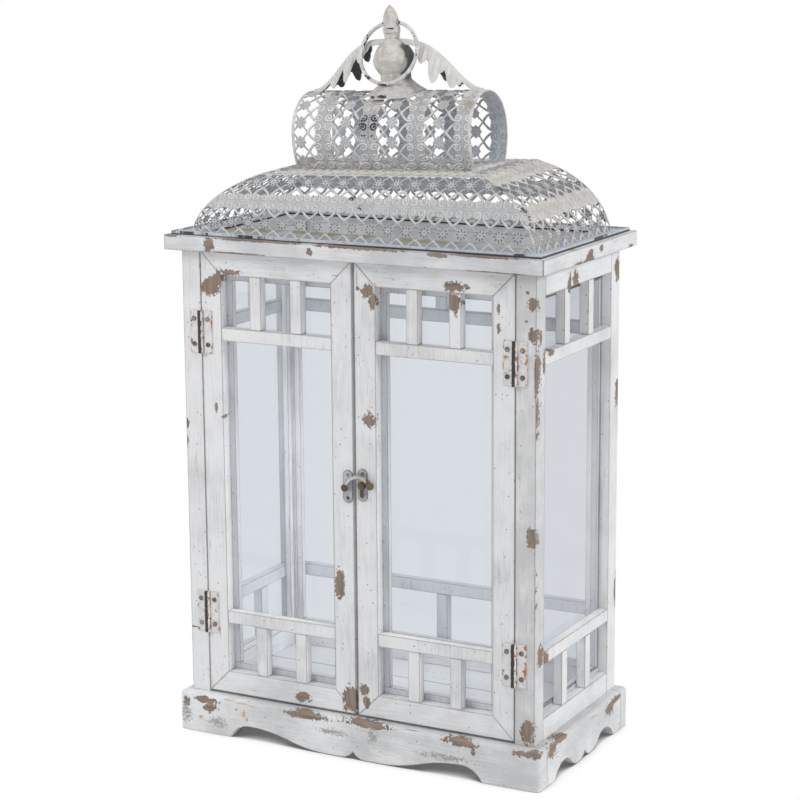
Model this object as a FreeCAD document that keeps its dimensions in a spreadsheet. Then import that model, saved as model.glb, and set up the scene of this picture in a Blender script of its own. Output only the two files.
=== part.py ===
import FreeCAD, Part
import Sketcher
import math
import os
import re

Vector = FreeCAD.Vector
X_AXIS = Vector(1, 0, 0)
Y_AXIS = Vector(0, 1, 0)
Z_AXIS = Vector(0, 0, 1)

# Driving sizes, in millimetres and degrees. The ground is z = 0, the doors face -Y and the case
# stands centred on the Z axis.
SIZES = {
    # case
    "body_width": 342.0,
    "body_depth": 175.3,
    "body_height": 405.5,
    "post_width": 18.2,
    "frame_thickness": 16.0,
    "top_rail": 20.5,
    "bottom_rail": 19.5,
    # glazing, the same for the doors and the fixed panels
    "row_height": 67.8,
    "mid_rail": 11.5,
    "muntin": 11.0,
    "bar_depth": 8.5,
    "glass_thickness": 2.0,
    "glass_gap": 0.5,
    "bead_width": 6.0,
    # plinth and floor
    "plinth_height": 36.5,
    "plinth_overhang": 9.0,
    "plinth_thickness": 16.0,
    "plinth_round": 4.0,
    "foot_front": 54.0,
    "foot_side": 33.0,
    "arch_height": 12.8,
    "arch_run": 20.0,
    "hump_start": 12.0,
    "hump_front": 26.0,
    "hump_side": 15.0,
    "hump_lift": 0.5,
    "notch_height": 7.0,
    "floor_thickness": 9.0,
    "floor_gap": 0.6,
    # cornice
    "cornice_overhang": 11.3,
    "cornice_thickness": 13.2,
    "cornice_board": 70.0,
    # doors
    "door_frame": 20.0,
    "door_side_gap": 0.8,
    "door_meeting_gap": 2.8,
    "door_top_gap": 0.9,
    "door_bottom_gap": 2.4,
    # hinges
    "hinge_length": 38.0,
    "leaf_reach": 11.0,
    "leaf_thickness": 1.2,
    "barrel_of_hinge": 2.4,
    "hinge_offset": 2.5,
    "hinge_pin": 1.2,
    "pin_fit": 0.05,
    "knuckle_gap": 0.3,
    "leaf_clearance": 0.4,
    "left_upper_hinge": 369.5,
    "left_lower_hinge": 113.0,
    "right_upper_hinge": 366.5,
    "right_lower_hinge": 107.0,
    "screw_spread": 11.4,
    "screw_reach": 7.0,
    "screw_shank": 1.3,
    "screw_head": 2.1,
    "screw_head_height": 0.7,
    "screw_length": 12.0,
    "hole_clearance": 0.1,
    # latch
    "latch_plate_width": 9.4,
    "latch_plate_length": 29.0,
    "latch_plate_thickness": 1.0,
    "left_plate_offset": 6.4,
    "left_plate_height": 245.0,
    "right_plate_offset": 8.1,
    "right_plate_lift": 2.6,
    "nail_spread": 10.3,
    "nail_shank": 0.7,
    "nail_head": 1.3,
    "nail_head_height": 0.7,
    "nail_length": 8.0,
    "rivet_radius": 1.5,
    "rivet_head": 2.9,
    "rivet_head_height": 0.8,
    "rivet_fit": 0.1,
    "arm_boss": 3.6,
    "arm_standoff": 4.6,
    "arm_thickness": 2.2,
    "arm_width": 3.4,
    "arm_rise": 10.6,
    "arm_crown": 12.2,
    "arm_reach": 24.4,
    "arm_end_lift": 3.7,
    "knob_radius": 3.4,
    "peg_radius": 3.4,
    "peg_height": 4.2,
    "peg_drop": 10.0,
    "peg_drop_width": 2.2,
    "peg_drop_thickness": 1.4,
    # roof
    "rim_inset": 5.0,
    "rim_width": 26.0,
    "rim_thickness": 1.5,
    "rim_lip": 1.6,
    "roof_end_margin": 11.8,
    "roof_side_margin": 14.95,
    "roof_rise": 60.8,
    "roof_end_inset": 58.0,
    "roof_side_inset": 23.5,
    "roof_sheet": 1.0,
    "roof_start_angle": 7.5,
    "roof_end_angle": 66.0,
    # barrel
    "barrel_length": 174.4,
    "barrel_radius": 36.0,
    "barrel_height": 59.7,
    "barrel_foot": 31.0,
    "barrel_sheet": 1.0,
    "barrel_rim_width": 3.0,
    "barrel_rim_proud": 0.8,
    "barrel_sill": 2.4,
    "barrel_tilt": 2.0,
    # finial, heights measured along its own axis from its foot just above the barrel
    "finial_offset": 2.5,
    "finial_lift": 2.5,
    "finial_lean": 5.5,
    "skirt_foot_radius": 25.0,
    "skirt_radius": 25.5,
    "skirt_drop": 8.0,
    "skirt_lip": 2.9,
    "skirt_curve": 40.0,
    "neck_radius": 13.3,
    "neck_bottom": 7.4,
    "neck_top": 12.8,
    "ball_radius": 18.5,
    "ball_height": 24.6,
    "ball_curve": 18.0,
    "shoulder_curve": 26.0,
    "throat_radius": 6.2,
    "throat_height": 42.2,
    "collar_bottom": 43.2,
    "lower_collar_radius": 6.8,
    "collar_step": 47.4,
    "collar_radius": 7.6,
    "collar_top": 52.8,
    "waist_radius": 6.3,
    "waist_height": 53.6,
    "bud_radius": 6.9,
    "bud_height": 58.2,
    "bud_curve": 20.0,
    "tip_radius": 0.6,
    "tip_height": 71.2,
    # carry ring
    "ring_radius": 27.5,
    "ring_wire": 1.7,
    "ring_drop": 27.08,
    "ring_hole_height": 56.3,
    "ring_hole": 2.4,
    "ring_tilt": 20.0,
    # leaf brackets
    "leaf_start_height": 42.5,
    "leaf_foot": 83.0,
    "leaf_foot_height": 2.2,
    "leaf_fall": 1.5,
    "leaf_sheet": 1.2,
    "leaf_spread": 0.5,
}

# Places worked out from the driving sizes.
PLACES = {
    "half_width": "body_width / 2",
    "half_depth": "body_depth / 2",
    "case_bottom": "plinth_height",
    "case_top": "plinth_height + body_height",
    "opening_x": "half_width - post_width",
    "opening_y": "half_depth - post_width",
    "lower_bar": "case_bottom + row_height",
    "upper_bar": "case_top - row_height - mid_rail",
    "bead_depth": "bar_depth + glass_thickness",
    "plinth_x": "half_width + plinth_overhang",
    "plinth_y": "half_depth + plinth_overhang",
    "floor_x": "plinth_x - plinth_thickness - floor_gap",
    "floor_y": "plinth_y - plinth_thickness - floor_gap",
    "cornice_x": "half_width + cornice_overhang",
    "cornice_y": "half_depth + cornice_overhang",
    "cornice_top": "case_top + cornice_thickness",
    "door_inner": "door_meeting_gap / 2",
    "door_outer": "opening_x - door_side_gap",
    "door_width": "door_outer - door_inner",
    "door_bottom": "case_bottom + door_bottom_gap",
    "door_top": "case_top - door_top_gap",
    "door_height": "door_top - door_bottom",
    "right_plate_height": "left_plate_height + right_plate_lift",
    "hinge_x": "opening_x - door_side_gap / 2",
    "hinge_y": "-half_depth - hinge_offset",
    "rim_x": "cornice_x - rim_inset",
    "rim_y": "cornice_y - rim_inset",
    "rim_top": "cornice_top + rim_thickness",
    "roof_top": "rim_top + roof_rise",
    "roof_x": "rim_x - roof_end_margin",
    "roof_y": "rim_y - roof_side_margin",
    "roof_top_x": "roof_x - roof_end_inset",
    "roof_top_y": "roof_y - roof_side_inset",
    "barrel_bottom": "roof_top + roof_sheet",
    "barrel_top": "barrel_bottom + barrel_height",
    "finial_foot": "barrel_top + finial_lift",
}

doc = FreeCAD.newDocument("case_lantern")
OWNER = {name: "Sizes" for name in SIZES}
OWNER.update({name: "Places" for name in PLACES})


def qualified(text):
    """The expression with the sheet's name put before each named size."""
    def with_sheet(word):
        name = word[0]
        return f"{OWNER[name]}.{name}" if name in OWNER else name
    return re.sub(r"[a-z]\w*", with_sheet, text)


def make_sheet(name, cells, prefix):
    """A sheet with one named cell for each entry."""
    sheet = doc.addObject("Spreadsheet::Sheet", name)
    for row, (alias, content) in enumerate(cells.items(), start=1):
        sheet.set(f"A{row}", alias)
        sheet.set(f"B{row}", prefix + (qualified(content) if prefix else str(content)))
        sheet.setAlias(f"B{row}", alias)
    doc.recompute()
    return sheet


make_sheet("Sizes", SIZES, "")
make_sheet("Places", PLACES, "=")


def size(name):
    """The present value of a named size or place."""
    return float(getattr(doc.getObject(OWNER[name]), name))


# Shared ways of making pieces

def bind(item, **expressions):
    """Tie properties of a piece to the sheets. A double underscore stands for a dot."""
    for name, text in expressions.items():
        item.setExpression(name.replace("__", "."), qualified(text))
    return item


def put(item, x="0", y="0", z="0"):
    """Tie a piece's place to the sheets."""
    return bind(item, Placement__Base__x=x, Placement__Base__y=y, Placement__Base__z=z)


def board(label, x, y, z):
    """A squared board from three (start, end) pairs of expressions."""
    item = doc.addObject("Part::Box", label)
    bind(item, Length=f"{x[1]} - ({x[0]})", Width=f"{y[1]} - ({y[0]})", Height=f"{z[1]} - ({z[0]})")
    return put(item, x[0], y[0], z[0])


def rod(label, radius, length, x, y, z, direction=Z_AXIS):
    """A round rod that starts at a point and runs along a direction."""
    item = doc.addObject("Part::Cylinder", label)
    item.Placement.Rotation = FreeCAD.Rotation(Z_AXIS, direction)
    bind(item, Radius=radius, Height=length)
    return put(item, x, y, z)


def group(label, pieces):
    """Separate solids under one name."""
    item = doc.addObject("Part::Compound", label)
    item.Links = pieces
    return item


def joined(label, pieces):
    """One solid from several."""
    item = doc.addObject("Part::MultiFuse", label)
    item.Shapes = pieces
    return item


def cut(label, base, tools):
    """A solid with others taken out of it."""
    item = doc.addObject("Part::Cut", label)
    item.Base = base
    item.Tool = group(label + "_tools", tools)
    return item


def formed(label, shape):
    """A piece whose curved shape is worked out here from the named sizes."""
    item = doc.addObject("Part::Feature", label)
    item.Shape = shape
    return item


def inward(face, near, far):
    """A (start, end) pair between two depths behind an outer face, such as '-half_depth'."""
    if face.startswith("-"):
        return (f"{face} + {near}", f"{face} + {far}")
    return (f"{face} - ({far})", f"{face} - ({near})")


def mirrored(pair):
    """The same (start, end) pair on the other side of the middle."""
    return (f"-({pair[1]})", f"-({pair[0]})")


def slab(label, across, span, depth, height):
    """A board of a panel that runs across X or across Y."""
    return board(label, span, depth, height) if across == "x" else board(label, depth, span, height)


def mitred(label, length, width, thickness, turn, x, y, z):
    """One side of a frame, its ends cut at 45 degrees. Its long edge starts at a corner of the frame."""
    item = doc.addObject("Part::Wedge", label)
    item.Placement.Rotation = turn
    item.Xmin = item.Ymin = item.Zmin = item.Z2min = 0
    bind(item, Xmax=length, Ymax=width, Zmax=thickness, Z2max=thickness, X2min=width,
         X2max=f"{length} - {width}")
    return put(item, x, y, z)


parts = []


def keep(*items):
    """List pieces as parts of the lantern."""
    parts.extend(items)


# Glazed panels: bars on the outer face, the pane behind them, beads behind the pane

def glazing(label, across, face, span, height, muntins):
    """Bars, pane and beads that fill one frame opening. Gives back the beads."""
    start, end = span
    bottom, top = height
    front = inward(face, "0", "bar_depth")
    bars = [
        slab(f"{label}_lower_rail", across, span, front, ("lower_bar", "lower_bar + mid_rail")),
        slab(f"{label}_upper_rail", across, span, front, ("upper_bar", "upper_bar + mid_rail")),
    ]
    pitch = f"({end} - ({start}) + muntin) / {muntins + 1}"
    for count in range(1, muntins + 1):
        left = f"{start} + {count} * {pitch} - muntin"
        place = (left, f"{left} + muntin")
        bars.append(slab(f"{label}_lower_muntin", across, place, front, (bottom, "lower_bar")))
        bars.append(slab(f"{label}_upper_muntin", across, place, front, ("upper_bar + mid_rail", top)))
    pane_depth = inward(face, "bar_depth", "bead_depth")
    pane = slab(f"{label}_glass", across, (f"{start} + glass_gap", f"{end} - glass_gap"), pane_depth,
                (f"{bottom} + glass_gap", f"{top} - glass_gap"))
    keep(group(f"{label}_glazing_bars", bars), pane)
    back = inward(face, "bead_depth", "frame_thickness")
    between = (f"{bottom} + bead_width", f"{top} - bead_width")
    return [
        slab(f"{label}_bottom_bead", across, span, back, (bottom, between[0])),
        slab(f"{label}_top_bead", across, span, back, (between[1], top)),
        slab(f"{label}_start_bead", across, (start, f"{start} + bead_width"), back, between),
        slab(f"{label}_end_bead", across, (f"{end} - bead_width", end), back, between),
    ]


# Plinth: four boards with scalloped lower edges

def level_arc(level, end):
    """An arc that leaves one point along X and runs to another."""
    run = end - level
    radius = (run.x ** 2 + run.z ** 2) / (2 * run.z)
    centre = level + Vector(0, 0, radius)
    outwards = ((level + end) / 2 - centre).normalize()
    return Part.Arc(level, centre + outwards * abs(radius), end)


def scallop(half_length, corner, kind):
    """The lower edge of a plinth board, right half, from the middle notch to the foot's end."""
    foot_start = corner - size("foot_" + kind)
    notch = Vector(0, 0, size("notch_height"))
    hump_start = Vector(size("hump_start"), 0, size("hump_lift"))
    hump_end = Vector(size("hump_" + kind), 0, size("hump_lift"))
    peak = Vector(foot_start - size("arch_run"), 0, size("arch_height"))
    slope = (hump_end + peak) / 2
    foot = Vector(foot_start, 0, 0)
    return [
        level_arc(hump_start, notch),
        Part.LineSegment(hump_start, hump_end),
        level_arc(hump_end, slope),
        level_arc(peak, slope),
        level_arc(peak, foot),
        Part.LineSegment(foot, Vector(half_length, 0, 0)),
    ]


def plinth_board(label, half_length, corner, kind, turn, distance):
    """A scalloped board, drawn along X with its outer face on -Y, then turned and moved outwards."""
    height = size("plinth_height")
    right = [curve.toShape() for curve in scallop(half_length, corner, kind)]
    left = [edge.mirror(Vector(0, 0, 0), X_AXIS) for edge in right]
    top = [
        Part.makeLine(Vector(half_length, 0, 0), Vector(half_length, 0, height)),
        Part.makeLine(Vector(half_length, 0, height), Vector(-half_length, 0, height)),
        Part.makeLine(Vector(-half_length, 0, height), Vector(-half_length, 0, 0)),
    ]
    outline = Part.Wire(Part.__sortEdges__(right + left + top))
    solid = Part.Face(outline).extrude(Vector(0, size("plinth_thickness"), 0))
    rounded = [edge for edge in solid.Edges if outer_edge(edge, half_length, height, kind == "front")]
    solid = solid.makeFillet(size("plinth_round"), rounded)
    solid.translate(Vector(0, -distance, 0))
    solid.rotate(Vector(0, 0, 0), Z_AXIS, turn)
    keep(formed(label, solid))


def outer_edge(edge, half_length, height, round_ends):
    """True for the outer top edge of a plinth board and, on the long boards, for its outer corners."""
    box = edge.BoundBox
    flat_front = box.YMax < 1e-6
    along_top = flat_front and box.ZMin > height - 1e-6
    end = abs(box.XMin) > half_length - 1e-6 and box.XLength < 1e-6
    return along_top or (round_ends and end and (flat_front or box.ZMin > height - 1e-6))


def make_plinth():
    half_width = size("plinth_x")
    half_depth = size("plinth_y")
    between = half_depth - size("plinth_thickness")
    plinth_board("plinth_front", half_width, half_width, "front", 0, half_depth)
    plinth_board("plinth_back", half_width, half_width, "front", 180, half_depth)
    plinth_board("plinth_right", between, half_depth, "side", 90, half_width)
    plinth_board("plinth_left", between, half_depth, "side", -90, half_width)


# Floor: three planks inside the plinth, level with its top

def make_floor():
    planks = []
    pitch = "(2 * floor_y + floor_gap) / 3"
    for count in range(3):
        start = f"-floor_y + {count} * {pitch}"
        planks.append(board("floor_plank", ("-floor_x", "floor_x"), (start, f"{start} + {pitch} - floor_gap"),
                            ("plinth_height - floor_thickness", "plinth_height")))
    keep(group("floor_planks", planks))


# Screws and nails, with the holes that they need

def fastener(label, x, z, depth, kind):
    """A headed pin driven into the front at a point. The head lies at a depth in front of the wood."""
    y = f"-half_depth - {depth}"
    shank = rod(f"{label}_shank", f"{kind}_shank", f"{kind}_length", x, y, z, Y_AXIS)
    head = rod(f"{label}_head", f"{kind}_head", f"{kind}_head_height", x, f"{y} - {kind}_head_height", z,
               Y_AXIS)
    return joined(label, [shank, head])


def fastener_hole(label, x, z, kind):
    """The hole for a headed pin, drilled from in front of the wood and its plate."""
    start = f"-half_depth - leaf_thickness - {kind}_head_height"
    length = f"{kind}_length + leaf_thickness + {kind}_head_height"
    return rod(label, f"{kind}_shank + hole_clearance", length, x, start, z, Y_AXIS)


HINGES = {side: [f"{side}_upper_hinge", f"{side}_lower_hinge"] for side in ("left", "right")}
SIGN = {"left": "-1", "right": "1"}


def screw_points(side, on_door):
    """Where the screws of one side's hinges go, on the door or on the post."""
    way = "-" if on_door else "+"
    x = f"{SIGN[side]} * (hinge_x {way} screw_reach)"
    return [(x, f"{height} {step} screw_spread") for height in HINGES[side] for step in ("-", "+")]


def nail_points(side):
    """Where the nails of one latch plate go."""
    return [(f"{SIGN[side]} * {side}_plate_offset", f"{side}_plate_height {step} nail_spread")
            for step in ("-", "+")]


# Case: posts, fixed panels and cornice

def make_posts():
    for side, x in (("left", ("-half_width", "-opening_x")), ("right", ("opening_x", "half_width"))):
        height = ("case_bottom", "case_top")
        blank = board(f"{side}_front_post_blank", x, ("-half_depth", "-opening_y"), height)
        holes = [fastener_hole("post_hole", px, pz, "screw") for px, pz in screw_points(side, False)]
        keep(cut(f"post_front_{side}", blank, holes))
        keep(board(f"post_back_{side}", x, ("opening_y", "half_depth"), height))


def make_fixed_panels():
    beads = []
    openings = {
        "left_side": ("y", "-half_width", ("-opening_y", "opening_y"), 2),
        "right_side": ("y", "half_width", ("-opening_y", "opening_y"), 2),
        "back": ("x", "half_depth", ("-opening_x", "opening_x"), 1),
    }
    for label, (across, face, span, muntins) in openings.items():
        depth = inward(face, "0", "frame_thickness")
        low = ("case_bottom", "case_bottom + bottom_rail")
        high = ("case_top - top_rail", "case_top")
        rails = [slab(f"{label}_bottom_rail", across, span, depth, low),
                 slab(f"{label}_top_rail", across, span, depth, high)]
        keep(group(f"{label}_rails", rails))
        beads += glazing(label, across, face, span, (low[1], high[0]), muntins)
    keep(group("case_glazing_beads", beads))


def make_cornice():
    sides = {
        "front": ("cornice_x", 0, "-cornice_x", "-cornice_y"),
        "right": ("cornice_y", 90, "cornice_x", "-cornice_y"),
        "back": ("cornice_x", 180, "cornice_x", "cornice_y"),
        "left": ("cornice_y", -90, "-cornice_x", "cornice_y"),
    }
    for side, (half_length, turn, x, y) in sides.items():
        keep(mitred(f"cornice_{side}", f"2 * {half_length}", "cornice_board", "cornice_thickness",
                    FreeCAD.Rotation(Z_AXIS, turn), x, y, "case_top"))


# Doors: mitred frames flush with the posts

def frame_side(label, length, turn, x, z):
    """One side of a door frame, turned about the depth of the door."""
    lie_down = FreeCAD.Rotation(X_AXIS, 90)
    return mitred(label, length, "door_frame", "frame_thickness", FreeCAD.Rotation(Y_AXIS, turn) * lie_down,
                  x, "-half_depth + frame_thickness", z)


def make_door(side):
    ends = ("-door_outer", "-door_inner") if side == "left" else ("door_inner", "door_outer")
    label = f"{side}_door"
    bottom_rail = frame_side(f"{label}_bottom_rail", "door_width", 0, ends[0], "door_bottom")
    end_stile = frame_side(f"{label}_end_stile", "door_height", -90, ends[1], "door_bottom")
    top_rail = frame_side(f"{label}_top_rail", "door_width", 180, ends[1], "door_top")
    start_stile = frame_side(f"{label}_start_stile", "door_height", 90, ends[0], "door_top")
    screw_holes = [fastener_hole("door_hole", x, z, "screw") for x, z in screw_points(side, True)]
    nail_holes = [fastener_hole("nail_hole", x, z, "nail") for x, z in nail_points(side)]
    hinge_stile, latch_stile = (start_stile, end_stile) if side == "left" else (end_stile, start_stile)
    stiles = [cut(f"{label}_hinge_stile", hinge_stile, screw_holes),
              cut(f"{label}_latch_stile", latch_stile, nail_holes)]
    keep(group(f"{label}_stiles", stiles), group(f"{label}_rails", [bottom_rail, top_rail]))
    span = (f"{ends[0]} + door_frame", f"{ends[1]} - door_frame")
    height = ("door_bottom + door_frame", "door_top - door_frame")
    keep(group(f"{label}_glazing_beads", glazing(label, "x", "-half_depth", span, height, 2)))


# Hinges: each leaf is a plate with its share of the knuckles, bored for the pin

def hinge_leaf(label, side, height, on_door):
    """A leaf on the door has the middle knuckle and a leaf on the post the two outer ones."""
    way = f"{SIGN[side]} * " + ("-1" if on_door else "1")
    third = "(hinge_length / 3)"
    rows = [(f"{height} - {third} / 2 + knuckle_gap", f"{height} + {third} / 2 - knuckle_gap")]
    if not on_door:
        rows = [(f"{height} - hinge_length / 2", f"{height} - {third} / 2"),
                (f"{height} + {third} / 2", f"{height} + hinge_length / 2")]
    axis = f"{SIGN[side]} * hinge_x"
    near = f"{axis} + {way} * (barrel_of_hinge + leaf_clearance)"
    far = f"{axis} + {way} * leaf_reach"
    towards_right = (side == "right") != on_door
    plate_x, web_x = ((near, far), (axis, near)) if towards_right else ((far, near), (near, axis))
    flat = ("-half_depth - leaf_thickness", "-half_depth")
    web_y = ("-half_depth - leaf_thickness", "-half_depth - hinge_offset + barrel_of_hinge")
    pieces = [board(f"{label}_plate", plate_x, flat,
                    (f"{height} - hinge_length / 2", f"{height} + hinge_length / 2"))]
    for row in rows:
        pieces.append(board(f"{label}_web", web_x, web_y, row))
        pieces.append(rod(f"{label}_knuckle", "barrel_of_hinge", f"{row[1]} - ({row[0]})",
                          axis, "hinge_y", row[0]))
    bore = rod(f"{label}_bore", "hinge_pin + pin_fit", "2 * hinge_length",
               axis, "hinge_y", f"{height} - hinge_length")
    holes = [fastener_hole(f"{label}_hole", x, z, "screw")
             for x, z in screw_points(side, on_door) if z.startswith(height)]
    return cut(label, joined(f"{label}_blank", pieces), [bore] + holes)


def make_hinges():
    post_leaves = []
    pins = []
    post_screws = []
    for side in ("left", "right"):
        door_leaves = []
        for height in HINGES[side]:
            post_leaves.append(hinge_leaf(f"{height}_post_leaf", side, height, False))
            door_leaves.append(hinge_leaf(f"{height}_door_leaf", side, height, True))
            pins.append(rod(f"{height}_pin", "hinge_pin", "hinge_length",
                            f"{SIGN[side]} * hinge_x", "hinge_y", f"{height} - hinge_length / 2"))
        keep(group(f"{side}_door_hinge_leaves", door_leaves))
        keep(group(f"{side}_door_screws", [fastener("door_screw", x, z, "leaf_thickness", "screw")
                                           for x, z in screw_points(side, True)]))
        post_screws += [fastener("post_screw", x, z, "leaf_thickness", "screw")
                        for x, z in screw_points(side, False)]
    keep(group("post_hinge_leaves", post_leaves))
    keep(group("hinge_pins", pins))
    keep(group("post_screws", post_screws))


# Latch: an arm that swings on the left door and lies over a peg on the right door

def latch_plate(label, side):
    """A plate with round ends on the face of a door."""
    x = f"{SIGN[side]} * {side}_plate_offset"
    height = f"{side}_plate_height"
    half = "(latch_plate_length - latch_plate_width) / 2"
    y = "-half_depth - latch_plate_thickness"
    pieces = [board(f"{label}_middle", (f"{x} - latch_plate_width / 2", f"{x} + latch_plate_width / 2"),
                    (y, "-half_depth"), (f"{height} - {half}", f"{height} + {half}"))]
    for step in ("-", "+"):
        pieces.append(rod(f"{label}_end", "latch_plate_width / 2", "latch_plate_thickness", x, y,
                          f"{height} {step} {half}", Y_AXIS))
    holes = [fastener_hole(f"{label}_hole", px, pz, "nail") for px, pz in nail_points(side)]
    keep(cut(label, joined(f"{label}_blank", pieces), holes))
    keep(group(f"{side}_latch_nails", [fastener("latch_nail", px, pz, "latch_plate_thickness", "nail")
                                       for px, pz in nail_points(side)]))


def make_latch_arm():
    """A flat arm that rises from its boss, arches over the peg and ends in a ball knob."""
    half = size("arm_width") / 2
    depth = size("arm_thickness")
    end = Vector(size("arm_reach"), 0, size("arm_end_lift"))
    crown = Vector(size("arm_crown"), 0, size("arm_rise"))
    start = Vector(0, 0, 0)
    path = Part.Circle(start, crown, end)
    centre = path.Center
    radius = path.Radius
    ring = Part.makeCylinder(radius + half, depth, centre, -Y_AXIS)
    ring = ring.cut(Part.makeCylinder(radius - half, depth, centre, -Y_AXIS))
    well_outside = 3
    fan = [centre] + [centre + (point - centre) * well_outside for point in (start, crown, end)] + [centre]
    arch = ring.common(Part.Face(Part.makePolygon(fan)).extrude(Vector(0, -depth, 0)))
    stand = size("arm_standoff") - size("latch_plate_thickness")
    boss = Part.makeCylinder(size("arm_boss"), stand + depth, Vector(0, stand, 0), -Y_AXIS)
    knob = Part.makeSphere(size("knob_radius"), end - Y_AXIS * (depth / 2))
    arm = arch.fuse([boss, knob]).removeSplitter()
    bore = Part.makeCylinder(size("rivet_radius") + size("rivet_fit"), stand + depth, Vector(0, stand, 0),
                             -Y_AXIS)
    item = formed("latch_arm", arm.cut(bore))
    item.Placement.Base = Vector(-size("left_plate_offset"), -size("half_depth") - size("arm_standoff"),
                                 size("left_plate_height"))
    keep(item)


def make_latch():
    latch_plate("latch_arm_plate", "left")
    latch_plate("latch_peg_plate", "right")
    make_latch_arm()
    x = "-left_plate_offset"
    outer = "arm_standoff + arm_thickness"
    shank = rod("rivet_shank", "rivet_radius", f"{outer} - latch_plate_thickness",
                x, f"-half_depth - ({outer})", "left_plate_height", Y_AXIS)
    head = rod("rivet_cap", "rivet_head", "rivet_head_height", x,
               f"-half_depth - ({outer}) - rivet_fit - rivet_head_height", "left_plate_height", Y_AXIS)
    neck = rod("rivet_neck", "rivet_radius", "rivet_fit", x, f"-half_depth - ({outer}) - rivet_fit",
               "left_plate_height", Y_AXIS)
    keep(joined("latch_rivet", [shank, head, neck]))
    stud = rod("peg_stud", "peg_radius", "peg_height - latch_plate_thickness", "right_plate_offset",
               "-half_depth - peg_height", "right_plate_height", Y_AXIS)
    drop = board("peg_tail",
                 ("right_plate_offset - peg_drop_width / 2", "right_plate_offset + peg_drop_width / 2"),
                 ("-half_depth - peg_height", "-half_depth - peg_height + peg_drop_thickness"),
                 ("right_plate_height - peg_drop", "right_plate_height"))
    keep(joined("latch_peg", [stud, drop]))


# Roof: a rim plate, four curved panels that meet at the hips and a flat top

def make_rim():
    """A flat flange with a lip round its outer edge."""
    outer = board("rim_outer", ("-rim_x", "rim_x"), ("-rim_y", "rim_y"), ("cornice_top", "rim_top + rim_lip"))
    tray = board("rim_tray", ("-rim_x + rim_thickness", "rim_x - rim_thickness"),
                 ("-rim_y + rim_thickness", "rim_y - rim_thickness"), ("rim_top", "rim_top + 2 * rim_lip"))
    hole = board("rim_hole", ("-rim_x + rim_width", "rim_x - rim_width"),
                 ("-rim_y + rim_width", "rim_y - rim_width"),
                 ("cornice_top - rim_thickness", "rim_top + rim_thickness"))
    keep(cut("roof_rim", outer, [tray, hole]))


# A panel's sheet runs past its edges by a spare angle and share before it is cut to the hips
SPARE_ANGLE = math.radians(5)
SPARE_SHARE = 0.2
CURVE_SPANS = 8


def roof_curve(base, inset, sheet):
    """Points of a panel's section, as (distance from the middle, height), on an ellipse."""
    first = math.radians(size("roof_start_angle"))
    last = math.radians(size("roof_end_angle"))
    across = inset / (math.cos(first) - math.cos(last))
    upright = size("roof_rise") / (math.sin(last) - math.sin(first))
    points = []
    for step in range(CURVE_SPANS + 1):
        angle = first - SPARE_ANGLE + (last - first + 2 * SPARE_ANGLE) * step / CURVE_SPANS
        normal = Vector(upright * math.cos(angle), 0, across * math.sin(angle)).normalize()
        point = Vector(base + across * (math.cos(angle) - math.cos(first)), 0,
                       upright * (math.sin(angle) - math.sin(first)))
        points.append(point - normal * sheet)
    return points


def smooth_edge(points):
    """One smooth edge through the points."""
    spline = Part.BSplineCurve()
    spline.interpolate(points)
    return spline.toShape()


def roof_panel(label, base, inset, half_length, run, turn):
    """A panel drawn facing +X, cut to the vertical hip planes and to its height, then turned."""
    outer = roof_curve(base, inset, 0)
    inner = roof_curve(base, inset, size("roof_sheet"))
    section = Part.Wire([
        smooth_edge(outer),
        Part.makeLine(outer[-1], inner[-1]),
        smooth_edge(inner[::-1]),
        Part.makeLine(inner[0], outer[0]),
    ])
    wide = half_length + run * SPARE_SHARE
    narrow = half_length - run * (1 + SPARE_SHARE)
    far = base + inset * SPARE_SHARE
    near = base - inset * (1 + SPARE_SHARE)
    sheet = Part.Face(section)
    sheet.translate(Vector(0, -wide, 0))
    sheet = sheet.extrude(Vector(0, 2 * wide, 0))
    plan = Part.makePolygon([Vector(far, -wide, 0), Vector(far, wide, 0), Vector(near, narrow, 0),
                             Vector(near, -narrow, 0), Vector(far, -wide, 0)])
    wedge = Part.Face(plan).extrude(Vector(0, 0, size("roof_rise")))
    panel = sheet.common(wedge)
    panel.translate(Vector(0, 0, size("rim_top")))
    panel.rotate(Vector(0, 0, 0), Z_AXIS, turn)
    keep(formed(label, panel))


def make_roof():
    make_rim()
    half_length = size("roof_x")
    half_depth = size("roof_y")
    end_inset = size("roof_end_inset")
    side_inset = size("roof_side_inset")
    roof_panel("roof_right_panel", half_length, end_inset, half_depth, side_inset, 0)
    roof_panel("roof_left_panel", half_length, end_inset, half_depth, side_inset, 180)
    roof_panel("roof_back_panel", half_depth, side_inset, half_length, end_inset, 90)
    roof_panel("roof_front_panel", half_depth, side_inset, half_length, end_inset, -90)
    keep(board("roof_top_plate", ("-roof_top_x", "roof_top_x"), ("-roof_top_y", "roof_top_y"),
               ("roof_top", "roof_top + roof_sheet")))


# Barrel: an arched sheet of horseshoe section, a little tilted, with a rolled rim and a sill at each end

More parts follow.
